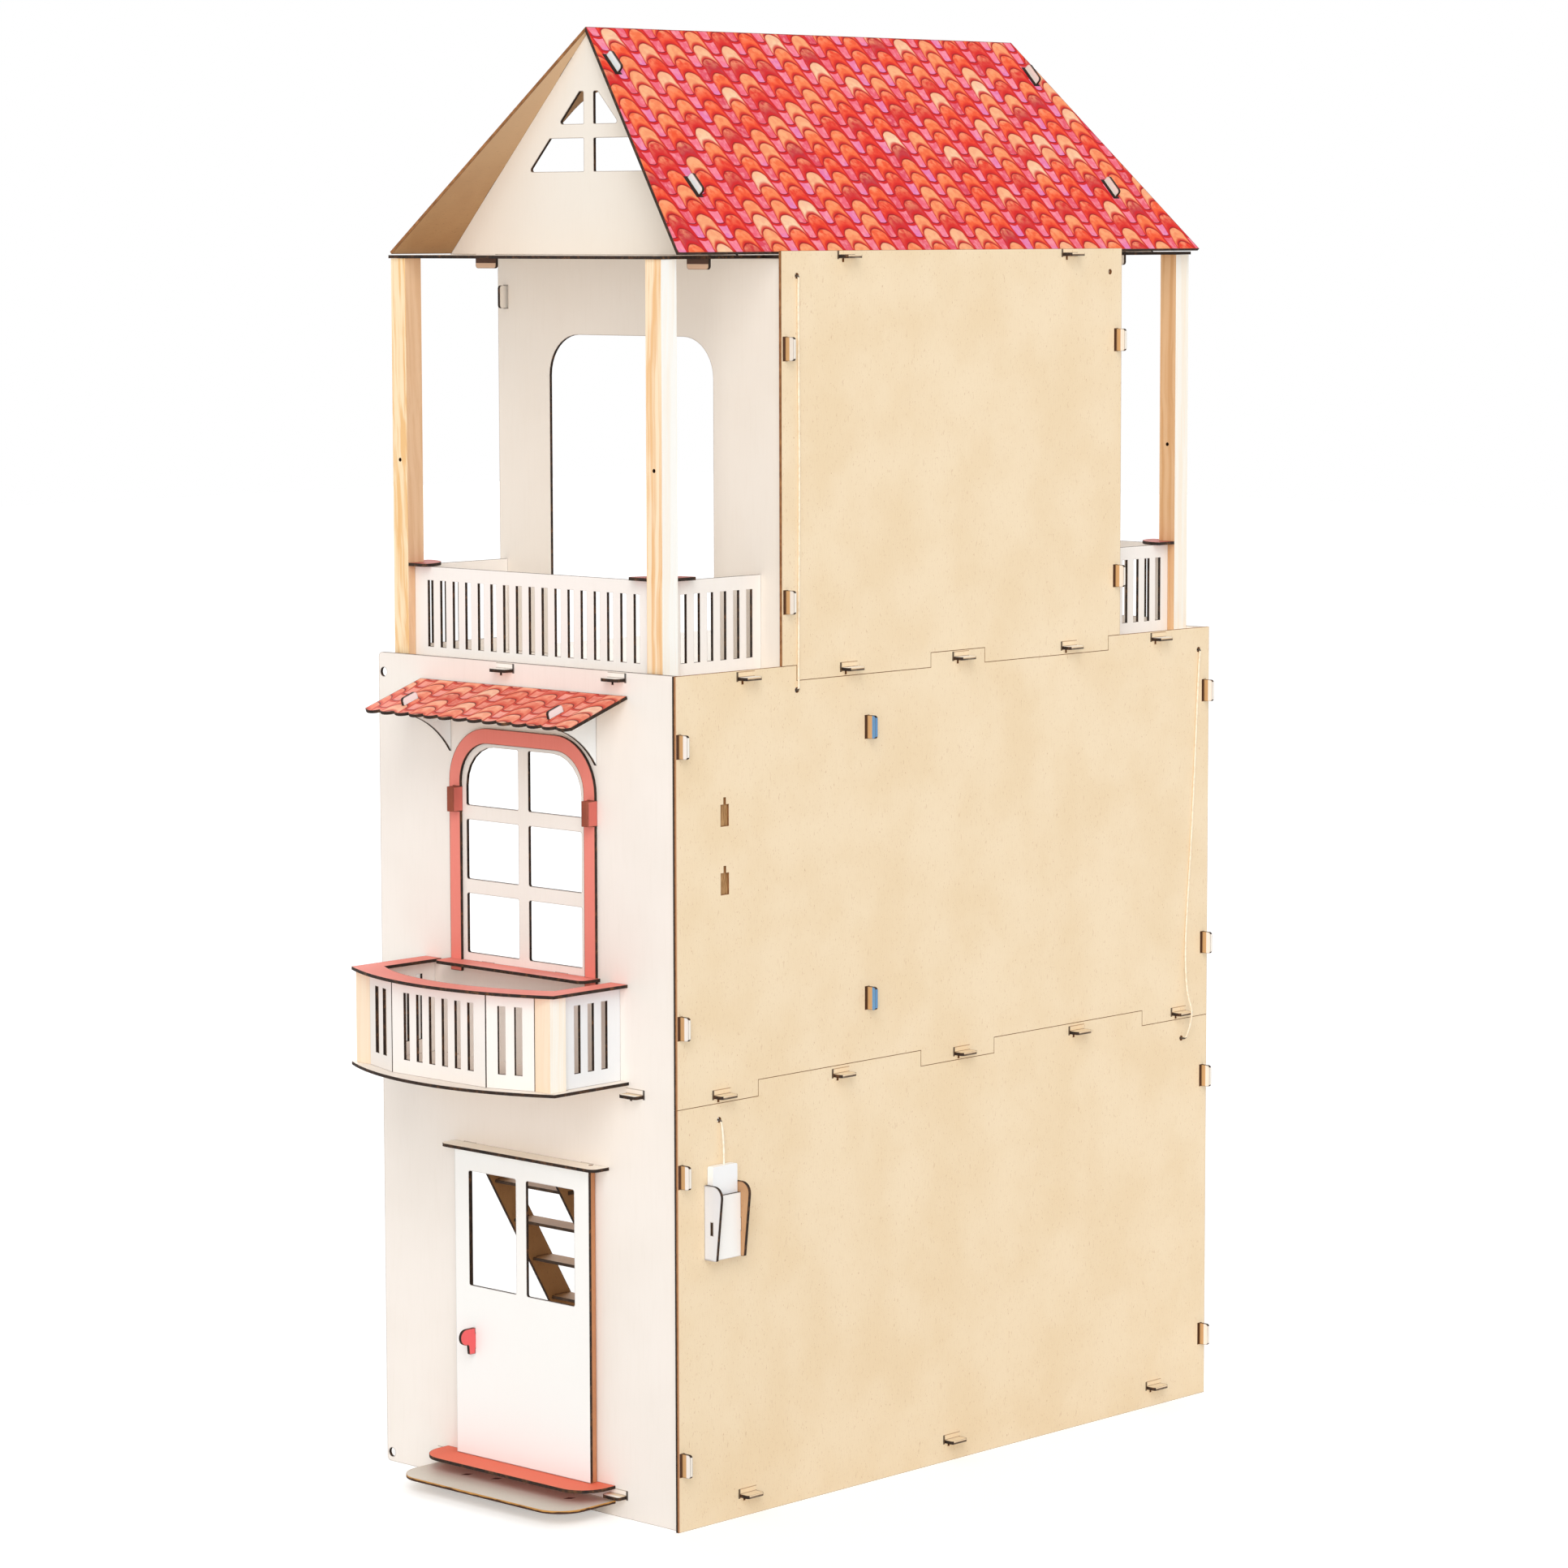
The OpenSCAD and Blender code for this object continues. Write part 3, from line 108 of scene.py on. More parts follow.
class Value:
    """A number in a material, on which arithmetic adds the nodes that do it"""

    def __init__(self, finish, socket):
        self.finish = finish
        self.socket = socket

    def do(self, operation, *others):
        return self.finish.math(operation, self, *others)

    def __add__(self, other):
        return self.do("ADD", other)

    def __radd__(self, other):
        return self.do("ADD", other)

    def __sub__(self, other):
        return self.do("SUBTRACT", other)

    def __rsub__(self, other):
        return self.finish.math("SUBTRACT", other, self)

    def __mul__(self, other):
        return self.do("MULTIPLY", other)

    def __truediv__(self, other):
        return self.do("DIVIDE", other)

    def floor(self):
        return self.do("FLOOR")

    def fraction(self):
        return self.do("FRACT")

    def size(self):
        return self.do("ABSOLUTE")

    def power(self, exponent):
        return self.do("POWER", exponent)

    def least(self, other):
        return self.do("MINIMUM", other)

    def most(self, other):
        return self.do("MAXIMUM", other)

    def ramp(self, low, high):
        """0 at low, 1 at high, smooth between and level beyond. low may be the greater one"""
        node = self.finish.node("ShaderNodeMapRange")
        node.interpolation_type = "SMOOTHSTEP"
        self.finish.join(self.socket, node.inputs["Value"])
        node.inputs["From Min"].default_value = min(low, high)
        node.inputs["From Max"].default_value = max(low, high)
        node.inputs["To Min"].default_value = 0.0 if low < high else 1.0
        node.inputs["To Max"].default_value = 1.0 if low < high else 0.0
        return Value(self.finish, node.outputs["Result"])


# What the cutting beam leaves along a rim: the pale side of the burn and the dark one
SCORCH = (srgb(150, 96, 52), srgb(38, 26, 20))


class Finish:
    """A material under construction. x, y, z: millimetres from the house's near back corner"""

    def __init__(self, name, roughness):
        self.material = bpy.data.materials.new(name)
        self.material.use_nodes = True
        self.tree = self.material.node_tree
        self.shader = next(n for n in self.tree.nodes if n.type == "BSDF_PRINCIPLED")
        self.shader.inputs["Roughness"].default_value = roughness
        self.shader.inputs["Specular IOR Level"].default_value = 0.35
        place = self.node("ShaderNodeTexCoord").outputs["Object"]
        apart = self.node("ShaderNodeSeparateXYZ")
        self.join(place, apart.inputs[0])
        self.x = Value(self, apart.outputs["X"]) * (1 / MM) - HOUSE.x
        self.y = Value(self, apart.outputs["Y"]) * (1 / MM) - HOUSE.y
        self.z = Value(self, apart.outputs["Z"]) * (1 / MM)

    def node(self, kind):
        return self.tree.nodes.new(kind)

    def join(self, source, target):
        self.tree.links.new(source, target)

    def feed(self, value, target):
        if isinstance(value, Value):
            self.join(value.socket, target)
        elif isinstance(value, bpy.types.NodeSocket):
            self.join(value, target)
        else:
            target.default_value = value

    def math(self, operation, *values):
        node = self.node("ShaderNodeMath")
        node.operation = operation
        for k, value in enumerate(values):
            self.feed(value, node.inputs[k])
        return Value(self, node.outputs[0])

    def spot(self, x, y, z=0.0):
        """A point for a texture, from three numbers"""
        node = self.node("ShaderNodeCombineXYZ")
        for value, socket in zip((x, y, z), node.inputs):
            self.feed(value, socket)
        return node.outputs[0]

    def here(self):
        """The place itself, for a texture that has no direction"""
        return self.spot(self.x, self.y, self.z)

    def noise(self, place, scale, detail, roughness=0.5):
        node = self.node("ShaderNodeTexNoise")
        self.join(place, node.inputs["Vector"])
        node.inputs["Scale"].default_value = scale
        node.inputs["Detail"].default_value = detail
        node.inputs["Roughness"].default_value = roughness
        return Value(self, node.outputs["Fac"])

    def chance(self, place):
        """A number from 0 to 1 that differs from cell to cell"""
        node = self.node("ShaderNodeTexWhiteNoise")
        node.noise_dimensions = "3D"
        self.join(place, node.inputs["Vector"])
        return Value(self, node.outputs["Value"])

    def blend(self, share, first, second):
        """The first colour where share is 0, the second where it is 1"""
        node = self.node("ShaderNodeMix")
        node.data_type = "RGBA"
        self.feed(share, node.inputs[0])
        self.feed(first, node.inputs[6])
        self.feed(second, node.inputs[7])
        return node.outputs[2]

    def colours(self, value, stops):
        """A row of colours along 0 to 1"""
        node = self.node("ShaderNodeValToRGB")
        row = node.color_ramp.elements
        while len(row) < len(stops):
            row.new(1.0)
        for stop, (place, colour) in zip(row, stops):
            stop.position = place
            stop.color = colour
        self.join(value.socket, node.inputs[0])
        return node.outputs[0]

    def paint(self, colour):
        self.feed(colour, self.shader.inputs["Base Color"])

    def relief(self, height, depth):
        """Bump, with its depth in millimetres"""
        node = self.node("ShaderNodeBump")
        node.inputs["Strength"].default_value = 1.0
        node.inputs["Distance"].default_value = depth * MM
        self.join(height.socket, node.inputs["Height"])
        self.join(node.outputs[0], self.shader.inputs["Normal"])

    def attribute(self, name):
        node = self.node("ShaderNodeAttribute")
        node.attribute_name = name
        return Value(self, node.outputs["Fac"])

    def scorched(self, colour, strength=0.85, tones=None):
        """The colour, browned by the cutting beam along the rims that carry the scorch attribute"""
        rim = self.attribute("scorch")
        wander = self.noise(self.here(), 0.11, 2.0)
        share = (rim.ramp(0.08, 0.62) * (0.62 + wander * 0.7)).least(1.0) * strength
        pale, dark = tones or SCORCH
        tone = self.blend(rim.ramp(0.3, 0.85), pale, dark)
        self.paint(self.blend(share, colour, tone))


def lengthwise(finish, run, long_way):
    """Coordinates for grain along one axis, 0 for x to 2 for z, 1 / run times as long as wide"""
    parts = [finish.x, finish.y, finish.z]
    parts[long_way] = parts[long_way] * run
    return finish.spot(*parts)


# Level tabs through the walls: the height of each floor's top and the middles of its tabs
BACK_TABS = ((21.5, (93, 381, 692)), (403.5, (60, 222, 395, 568, 729)),
             (788.5, (94, 234, 393, 554, 693)), (1174.0, (231, 553)))
FACADE_TABS = ((21.5, (-321, -84)), (403.5, (-346, -59)), (788.5, (-229, -80)))


def slot_marks(finish, coat, along, rows, end, dark, line):
    """The slots round the level tabs: a dark mark beside each tab, the slot's burnt end with
    painted shade in its gap, and a thin line over it. along: the place along the wall; end: the
    side of a tab that its dark mark is on, 1 or -1"""
    end_off, end_height, line_height = 11.7, 0.4, 4.7
    burnt = thin = None
    for level, middles in rows:
        tip = over = None
        for middle in middles:
            a, b = (along - (middle + end * end_off)).size(), (along - middle).size()
            tip, over = (a, b) if tip is None else (tip.least(a), over.least(b))
        rise = finish.z - level
        # The dark mark: the slot's burnt end and painted shade in its gap
        mark = tip.ramp(1.6, 1.0) * (rise - end_height).size().ramp(4.9, 4.2)
        head = over.ramp(11.8, 11.0) * (rise - line_height).size().ramp(0.6, 0.2)
        burnt, thin = (mark, head) if burnt is None else (burnt.most(mark), thin.most(head))
    coat = finish.blend(thin * 0.7, coat, line)
    return finish.blend(burnt * 0.9, coat, dark)


def wood_tone(finish, pale, dark, deep, long_way):
    """Sliced veneer: soft clouds, fine pores and small winding flecks, running along one axis"""
    cloud = finish.noise(finish.here(), 0.012, 3.0, 0.55)
    sway = finish.noise(finish.here(), 0.05, 2.0)
    winding = [finish.x + sway * 6.0, finish.y + sway * 6.0, finish.z + sway * 6.0]
    winding[long_way] = winding[long_way] * 0.30
    pores = finish.noise(lengthwise(finish, 0.12, long_way), 0.9, 2.0, 0.6)
    flecks = finish.noise(finish.spot(*winding), 0.42, 2.0, 0.45)
    thin = finish.noise(finish.spot(*winding), 1.1, 1.0, 0.5)
    base = finish.blend(cloud.ramp(0.30, 0.72), pale, dark)
    share = pores.ramp(0.50, 0.78) * 0.10 + flecks.ramp(0.68, 0.74) * 0.20
    share = share + thin.ramp(0.69, 0.75) * 0.45
    return finish.blend(share.least(1.0), base, deep), pores


def wood(name, pale, dark, deep, long_way=2, ridge_light=None, tones=None, back=False, porch=False):
    """Bare ply, with its grain along one axis. ridge_light: a colour that it is blended to toward
    the ridge, painted light where more light falls; tones: its scorched rims' colours; back: the
    walls that the tabs come through; porch: whiter where it stands out of the facade"""
    finish = Finish(name, 0.62)
    tone, pores = wood_tone(finish, pale, dark, deep, long_way)
    if ridge_light:
        tone = finish.blend(finish.z.ramp(1180.0, 1380.0), tone, ridge_light)
    if porch:
        tone = finish.blend(finish.y.ramp(-0.3, -0.8), tone, srgb(255, 251, 242))
    if back:
        # Painted shade where it lies behind the wall's face, and darker at the wall's near end
        behind_face_shade = finish.blend(pores.ramp(0.35, 0.65), srgb(192, 148, 98), srgb(150, 108, 64))
        tone = finish.blend(finish.x.ramp(-0.5, -0.9), tone, behind_face_shade)
        tone = slot_marks(finish, tone, finish.y, BACK_TABS, -1, srgb(58, 36, 18),
                          srgb(156, 104, 54))
        tone = finish.blend(finish.y.ramp(2.4, 1.0) * 0.85, tone, srgb(186, 118, 70))
    finish.scorched(tone, 0.9, tones)
    finish.relief(pores, 0.05)
    return finish.material


# The posts' peg holes: their distances from the back wall, their height and their radius
PEG_X, PEG_Z, PEG_R = (33.0, 375.0), 979.75, 2.0


def pine(name, pale, dark, grain=0.5, side_tones=((255, 250, 240), (253, 236, 212)), slant=0.0):
    """Planed pine: broad growth rings along the post, in side_tones where it faces along x.
    grain: the strength of the dark streaks; slant: how far the rings lean for each step up"""
    finish = Finish(name, 0.55)
    sway = finish.noise(finish.spot(0.0, 0.0, finish.z * 0.008), 1.0, 2.0)
    lean = finish.z * slant
    rings = finish.noise(finish.spot(finish.x + sway * 14.0 + lean, finish.y + sway * 9.0 + lean,
                                     finish.z * 0.012), 0.16, 3.0, 0.6)
    pores = finish.noise(lengthwise(finish, 0.04, 2), 1.1, 2.0, 0.6)
    streak = finish.noise(lengthwise(finish, 0.02, 2), 0.35, 2.0, 0.5)
    tone = finish.blend(rings.ramp(0.42, 0.62), pale, dark)
    share = (streak.ramp(0.58, 0.74) * 0.5 + pores.ramp(0.55, 0.85) * 0.12).least(1.0)
    tone = finish.blend(share * grain, tone, srgb(232, 164, 96))
    side = finish.node("ShaderNodeSeparateXYZ")
    finish.join(finish.node("ShaderNodeNewGeometry").outputs["Normal"], side.inputs[0])
    facing = Value(finish, side.outputs["X"]).size().ramp(0.5, 0.9)
    light = finish.blend(rings.ramp(0.40, 0.66) * 0.6, srgb(*side_tones[0]), srgb(*side_tones[1]))
    tone = finish.blend(facing, tone, light)
    # The peg hole in each post: a dark disc, painted shade inside the hole
    across = (finish.x + PEG_X[0]).size().least((finish.x + PEG_X[1]).size())
    rise = finish.z - PEG_Z
    hole = (across * across + rise * rise).ramp(PEG_R ** 2, 3.3)
    finish.paint(finish.blend(hole, tone, srgb(52, 34, 22)))
    finish.relief(pores, 0.05)
    return finish.material


def painted(name, colour, shade, roughness=0.5, rim=0.42, tabs=None, slots=None, foot=None,
            nicks=(), tones=None):
    """Thin paint over ply: an even coat that lets a little of the grain through. rim, tones: how
    strong the scorched rims are, and their colours; tabs: how far a tab stays bare beyond the back
    wall, with painted shade where it meets the wall; slots: the level tabs whose slots are marked;
    foot: the level under which the paint stops, with a band of painted shadow just under it; nicks:
    places of short dark cuts, in x and y"""
    finish = Finish(name, roughness)
    cloud = finish.noise(finish.here(), 0.009, 2.0)
    grain = finish.noise(lengthwise(finish, 0.07, 2), 0.5, 2.0)
    share = (cloud.ramp(0.35, 0.75) * 0.5 + grain.ramp(0.45, 0.85) * 0.25).least(1.0)
    coat = finish.blend(share, colour, shade)
    if tabs:
        # Bare ply on the tab, dark with painted shade where it meets the wall
        bare = finish.blend(finish.x.ramp(0.0, 1.6), srgb(92, 56, 30), srgb(214, 168, 116))
        bare = finish.blend(finish.x.ramp(tabs - 0.8, tabs), bare, coat)
        coat = finish.blend(finish.x.ramp(0.05 - PLY, 0.15 - PLY), coat, bare)
    if slots:
        coat = slot_marks(finish, coat, finish.x, slots, 1, srgb(30, 24, 20), srgb(150, 128, 108))
    if foot:
        # Tabs that stand out of the slopes take a cool white, a tint painted against the red light
        # that the roof throws on them
        out = (finish.x + RIDGE_X).size() * math.sin(ROOF_PITCH)
        proud = (out + (finish.z - RIDGE_Z) * math.cos(ROOF_PITCH)).ramp(0.1, 0.5)
        coat = finish.blend(proud, coat, srgb(240, 255, 255))
        # Under the foot: a band of painted shadow beneath the floor, then bare ply
        bare = finish.blend(finish.z.ramp(foot - 4.6, foot - 5.4), srgb(82, 52, 36),
                            srgb(226, 190, 162))
        coat = finish.blend(finish.z.ramp(foot, foot - 0.3), coat, bare)
    for x, y in nicks:
        across, along = finish.x - x, finish.y - y
        nick = across.size().ramp(3.1, 2.7) * (along - across * 0.8).size().ramp(3.4, 3.0)
        coat = finish.blend(nick, coat, srgb(44, 32, 24))
    finish.scorched(coat, rim, tones)
    finish.relief(grain, 0.03)
    return finish.material


def burnt_edge():
    """The edge that the cutting beam leaves: charred, and browner here and there"""
    finish = Finish("burnt_edge", 0.75)
    char = finish.noise(finish.here(), 0.16, 3.0, 0.6)
    finish.paint(finish.colours(char, [(0.30, srgb(26, 20, 18)), (0.55, srgb(52, 35, 24)),
                                       (0.78, srgb(118, 78, 46))]))
    return finish.material


def cut_birch():
    """The browned edge of the back walls, near black at their near end"""
    finish = Finish("birch_cut_edge", 0.75)
    char = finish.noise(finish.here(), 0.16, 3.0, 0.6)
    tone = finish.blend(char.ramp(0.35, 0.7), srgb(128, 82, 44), srgb(164, 112, 66))
    near = finish.y.ramp(0.6, 0.3) * finish.x.ramp(-0.7, -1.3)
    finish.paint(finish.blend(near, tone, srgb(40, 28, 22)))
    return finish.material


def cut_step():
    """The lower step's edge: amber under its top face, dark below"""
    finish = Finish("step_cut_edge", 0.7)
    char = finish.noise(finish.here(), 0.08, 2.0)
    level = finish.z + (char - 0.5) * 2.4
    finish.paint(finish.blend(level.ramp(13.5, 14.3), srgb(66, 38, 22), srgb(206, 148, 74)))
    return finish.material


def slot_burns(u, v, slots):
    """1 on the burn round each slot, which reaches a little past it and lies a little off it"""
    burns = None
    for middle in slots["along"]:
        for drop in slots["down"]:
            mark = (u - (middle - 2.2)).size().ramp(4.9, 4.3) * (v - (drop + 1.2)).size().ramp(
                slots["half"] + 2.4, slots["half"] + 1.8)
            burns = burns.most(mark) if burns else mark
    return burns


def cover_tiles(finish, u, v, off, gauge, hues):
    """The covers' colour, their mottling, and half a cover's width, which is less at its head.
    off: how far a place lies from the middle of its column"""
    pitch, row, half = gauge["pitch"], gauge["row"], gauge["half"]
    reach = (off / (half - 1.8)).size().least(1.0)
    bow = (1.0 - (1.0 - reach * reach).power(0.65)) * gauge["arch"]
    rows = (v - bow) / row
    drop = rows.fraction() * row
    luck = finish.chance(finish.spot((u / pitch).floor(), rows.floor(), 3.0))
    hue = finish.colours(luck, hues["cover"])
    mottle = finish.noise(finish.spot(u, v, luck * 40.0), 0.16, 3.0)
    light = (1.0 - ((off + 2.0) / half).size()).most(0.0).power(0.7) * drop.ramp(row * 0.9, 1.0)
    hue = finish.blend((light * mottle.ramp(0.30, 0.66)) * 0.74, hue, hues["light"])
    hue = finish.blend(mottle.ramp(0.58, 0.40) * 0.20, hue, hues["shade"])
    # The flanks and the foot are darker, and a line runs along the foot
    edge = half - 2.2 + drop / row * 2.2
    flank = (off.size() - edge).ramp(-3.4, -0.6) * (0.35 + off.ramp(0.0, 6.0) * 0.6)
    hue = finish.blend(flank.least(0.95), hue, hues["shade"])
    hue = finish.blend(drop.ramp(row - 5.6, row - 1.0) * 0.92, hue, hues["shade"])
    line = (drop.ramp(1.8, 0.7) + drop.ramp(row - 0.7, row)).least(1.0)
    return finish.blend(line, hue, hues["line"]), mottle, edge


def pan_tiles(finish, u, v, off, mottle, edge, gauge, hues):
    """The pans' colour, with a deep gap below each"""
    pitch, row, half = gauge["pitch"], gauge["row"], gauge["half"]
    aside = off.size() - pitch / 2
    rows = (v - gauge["pan_drop"] + (aside / (pitch / 2 - half)).power(2.0) * 1.2) / row
    drop = rows.fraction() * row
    luck = finish.chance(finish.spot((u / pitch + 0.5).floor(), rows.floor(), 11.0))
    hue = finish.colours(luck, hues["pan"])
    foot = drop.ramp(row - 7.0, row - 1.5) * luck.ramp(0.45, 0.8)
    hue = finish.blend(foot * 0.4, hue, hues["foot"])
    hue = finish.blend(mottle.ramp(0.42, 0.7) * 0.45, hue, hues["glint"])
    gap = (drop.ramp(4.6, 3.2) + (off.size() - edge).ramp(1.7, 0.6)).least(1.0)
    hue = finish.blend(gap, hue, hues["shade"])
    line = (drop.ramp(1.3, 0.6) + drop.ramp(row - 0.3, row)).least(1.0)
    return finish.blend(line * 0.9, hue, hues["pan_line"])


def tile_print(name, across, down, gauge, hues, slots=None):
    """Printed clay tiles: columns of arched cover tiles with narrow pink pans between them.
    across, down: from a finish, the place along the eave, from the middle of a column, and down
    the slope, from the head of a row; gauge: the columns' pitch, the rows' height, half a cover's
    width, its arch, how far down the pans begin, how far the print wanders, and the columns and
    rows counted before the first, which keep every place above zero; hues: rows of colours for
    the covers and the pans, and single ones; slots: the middles of the burnt slots, along the eave
    and down the slope with those columns and rows counted in, and half a slot's length"""
    finish = Finish(name, 0.55)
    finish.shader.inputs["Specular IOR Level"].default_value = 0.12
    pitch, row = gauge["pitch"], gauge["row"]
    columns_before, rows_before = gauge["before"]
    u = across(finish) + pitch * (columns_before + 0.5)
    v = down(finish) + row * rows_before
    burns = slot_burns(u, v, slots) if slots else None
    push = finish.noise(finish.spot(u, v), 0.05, 2.0)
    lean = finish.noise(finish.spot(u, v, 7.0), 0.06, 2.0)
    u = u + (push - 0.5) * gauge["wander"]
    v = v + (lean - 0.5) * gauge["wander"]
    off = ((u / pitch).fraction() - 0.5) * pitch
    cover, mottle, edge = cover_tiles(finish, u, v, off, gauge, hues)
    pan = pan_tiles(finish, u, v, off, mottle, edge, gauge, hues)
    coat = finish.blend((edge - off.size()).ramp(-0.45, 0.45), pan, cover)
    if burns:
        coat = finish.blend(burns, coat, srgb(34, 24, 22))
    finish.scorched(coat)
    return finish.material


# ---------- sheets ----------

# A sheet's material slots: its faces, its cut edges, and the tabs' ends behind the back wall
OUTER, INNER, EDGE, TIP = range(4)
# How much of a face's direction has to lie along the sheet's own, or along an axis, to count as
# facing that way, and how wide the scorched rims are
FACING, SQUARE_ON = 0.86, 0.9
RIM, NARROW_RIM, TIP_RIM = 0.95, 0.45, 0.7


def loose_copy(node):
    """A copy of a CAD node with its doubled corners merged"""
    mesh = frame["nodes"][node].data.copy()
    mesh.materials.clear()
    work = bmesh.new()
    work.from_mesh(mesh)
    bmesh.ops.remove_doubles(work, verts=work.verts, dist=1e-6)
    return mesh, work


def main_direction(work, hint):
    """The outward direction of a sheet: that of its largest faces, on the hint's side"""
    side = Vector(hint)
    totals = {}
    for face in work.faces:
        key = tuple(round(c, 1) for c in face.normal)
        totals[key] = totals.get(key, 0.0) + face.calc_area()
    return Vector(max(totals, key=lambda k: totals[k] * max(0.0, Vector(k).dot(side)))).normalized()


def ring_round(work, scorch, faces, rim):
    """Insets a region and marks the new ring's outer corners as scorched"""
    if not faces:
        return
    ring = bmesh.ops.inset_region(work, faces=faces, thickness=rim * MM, use_boundary=True,
                                  use_even_offset=True)["faces"]
    inside = set(faces)
    for face in ring:
        for corner in face.loops:
            met = corner.vert.link_faces
            corner[scorch] = 0.0 if any(f in inside for f in met) else 1.0


def cut_sheet(node, outward, outer, inner, edge, rim, tip):
    """A ply sheet that stands for its CAD node, with a scorched rim round its outline and every
    cut-out. outer, inner, edge: its finishes; tip: that of its tabs' ends, where it has any"""
    mesh, work = loose_copy(node)
    direction = main_direction(work, outward)
    scorch = work.loops.layers.float.new("scorch")
    front = [f for f in work.faces if f.normal.dot(direction) > FACING]
    back = [f for f in work.faces if f.normal.dot(direction) < -FACING]
    beyond = (HOUSE.x + PLY / 2) * MM
    tips = [f for f in work.faces
            if tip and f.normal.x > SQUARE_ON and f.calc_center_median().x > beyond]
    for face in work.faces:
        face.material_index = EDGE
    level = abs(direction.z) > SQUARE_ON
    for faces, index, width in ((front, OUTER, rim), (back, INNER, rim), (tips, TIP, TIP_RIM)):
        for face in faces:
            face.material_index = index
        if index == TIP and level:
            # The scorch attribute darkens the lower part of a level tab's end: painted shadow under
            # the tab
            for face in faces:
                middle = face.calc_center_bounds().z
                for corner in face.loops:
                    corner[scorch] = 1.5 if corner.vert.co.z < middle else -0.3
        else:
            ring_round(work, scorch, faces, width)
    work.to_mesh(mesh)
    work.free()
    for material in (outer, inner, edge, tip or edge):
        mesh.materials.append(material)
    mesh.name = node + "_sheet"
    piece = bpy.data.objects.new(node + "_sheet", mesh)
    bpy.context.scene.collection.objects.link(piece)
    return piece


def settle(piece, node):
    """Hands a piece to the body that its CAD node rides on, and hides that node"""
    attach(piece, frame["nodes"][node]["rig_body"])
    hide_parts(node)


# ---------- leads ----------

# A lead's thickness, and how far its middle lies off the wall, along it and at a hole
WIRE_D = 2.0
HUG, BEND = 1.05, 2.75
# Where the leads go through the back wall, in y and z, and how far round these places the sleeve
#  is painted dark, as the shade of the hole, from where that begins to where it is full
LEAD_HOLES = ((163.0, 1155.0), (162.0, 771.5), (757.0, 772.0), (733.0, 375.5), (56.0, 380.0))
HOLE_SHADE = (1.7, 1.3)


def sleeve_plastic(name, pale, shade):
    """The leads' sleeve, with painted shade where it comes out of a hole"""
    finish = Finish(name, 0.45)
    stain = finish.noise(finish.here(), 0.3, 2.0)
    sleeve = finish.blend(stain.ramp(0.35, 0.7), pale, shade)
    nearest = None
    for y, z in LEAD_HOLES:
        across, up = finish.y - y, finish.z - z
        spread = across * across + up * up
        nearest = nearest.least(spread) if nearest else spread
    # Painted shade where the sleeve comes out of a hole
    hole = nearest.ramp(*(radius ** 2 for radius in HOLE_SHADE)) * 0.92
    finish.paint(finish.blend(hole, sleeve, srgb(44, 28, 20)))
    return finish.material


def bends(corners, cut, steps=4):
    """A smooth line past the corners. cut: how much of the way to the next ones each bend takes"""
    line = [corners[0]]
    for before, corner, after in zip(corners, corners[1:], corners[2:]):
        start, end = corner.lerp(before, cut), corner.lerp(after, cut)
        for k in range(steps + 1):
            t = k / steps
            line.append(start * (1 - t) ** 2 + corner * 2 * t * (1 - t) + end * t ** 2)
    return line + [corners[-1]]


def lead(name, node, corners, material, cut=0.4):
    """A thin battery lead along the back of the house, past corners given as at() takes them"""
    points = bends([at(*corner) for corner in corners], cut)
    data = bpy.data.curves.new(name, "CURVE")
    data.dimensions = "3D"
    data.bevel_depth = WIRE_D / 2 * MM
    data.bevel_resolution = 3
    data.use_fill_caps = True
    spline = data.splines.new("POLY")
    spline.points.add(len(points) - 1)
    for target, point in zip(spline.points, points):
        target.co = (*point, 1.0)
    data.materials.append(material)
    piece = bpy.data.objects.new(name, data)
    bpy.context.scene.collection.objects.link(piece)
    settle(piece, node)
    length = sum((b - a).length for a, b in zip(points, points[1:]))


def make_leads():
    """Two leads from hole to hole, and one from its hole down to the battery case"""
    pale = sleeve_plastic("lead_sleeve_pale", srgb(255, 246, 230), srgb(248, 232, 206))
    dull = sleeve_plastic("lead_sleeve_dull", srgb(252, 238, 214), srgb(242, 222, 192))
    lead("lead_upper", "wire_upper", [
        (-2.5, 163, 1155), (BEND, 163, 1155), (HUG, 163.5, 1141), (HUG, 165, 971),
        (HUG, 163, 785.5), (BEND, 162, 771.5), (-2.5, 162, 771.5)], dull)
    lead("lead_lower", "wire_lower", [
        (-2.5, 757, 772), (BEND, 757, 772), (HUG, 756.5, 757.5), (HUG, 748, 600.5),
        (HUG, 737, 470.5), (6, 734, 425.5), (14, 733.5, 404.5), (12, 733, 390.5),
        (6, 733, 375.5), (-2.5, 733, 375.5)], dull, 0.35)
    lead("lead_pocket", "wire_pocket", [
        (-2.5, 56, 380), (2.5, 56, 380), (4, 56.5, 370.5), (4, 58, 352.65), (4, 58, 338.75)],
        pale)


make_leads()


# ---------- finishes ----------

WHITE = painted("white_paint", srgb(252, 246, 240), srgb(246, 238, 230))
FACADE_WHITE = painted("facade_paint", srgb(251, 243, 235), srgb(243, 234, 224), tabs=6.0,
                       slots=FACADE_TABS)
DOOR_WHITE = painted("door_paint", srgb(254, 253, 250), srgb(253, 250, 246), rim=0.3)
CREAM = painted("cream_paint", srgb(247, 239, 228), srgb(242, 232, 219))
TERRACE_CREAM = painted("terrace_paint", srgb(254, 248, 240), srgb(250, 242, 232))
END_CREAM = painted("end_wall_paint", srgb(243, 234, 223), srgb(236, 225, 212), tabs=6.0)
GABLE_CREAM = painted("gable_paint", srgb(243, 236, 226), srgb(238, 229, 216), rim=0.5, foot=1171.0)
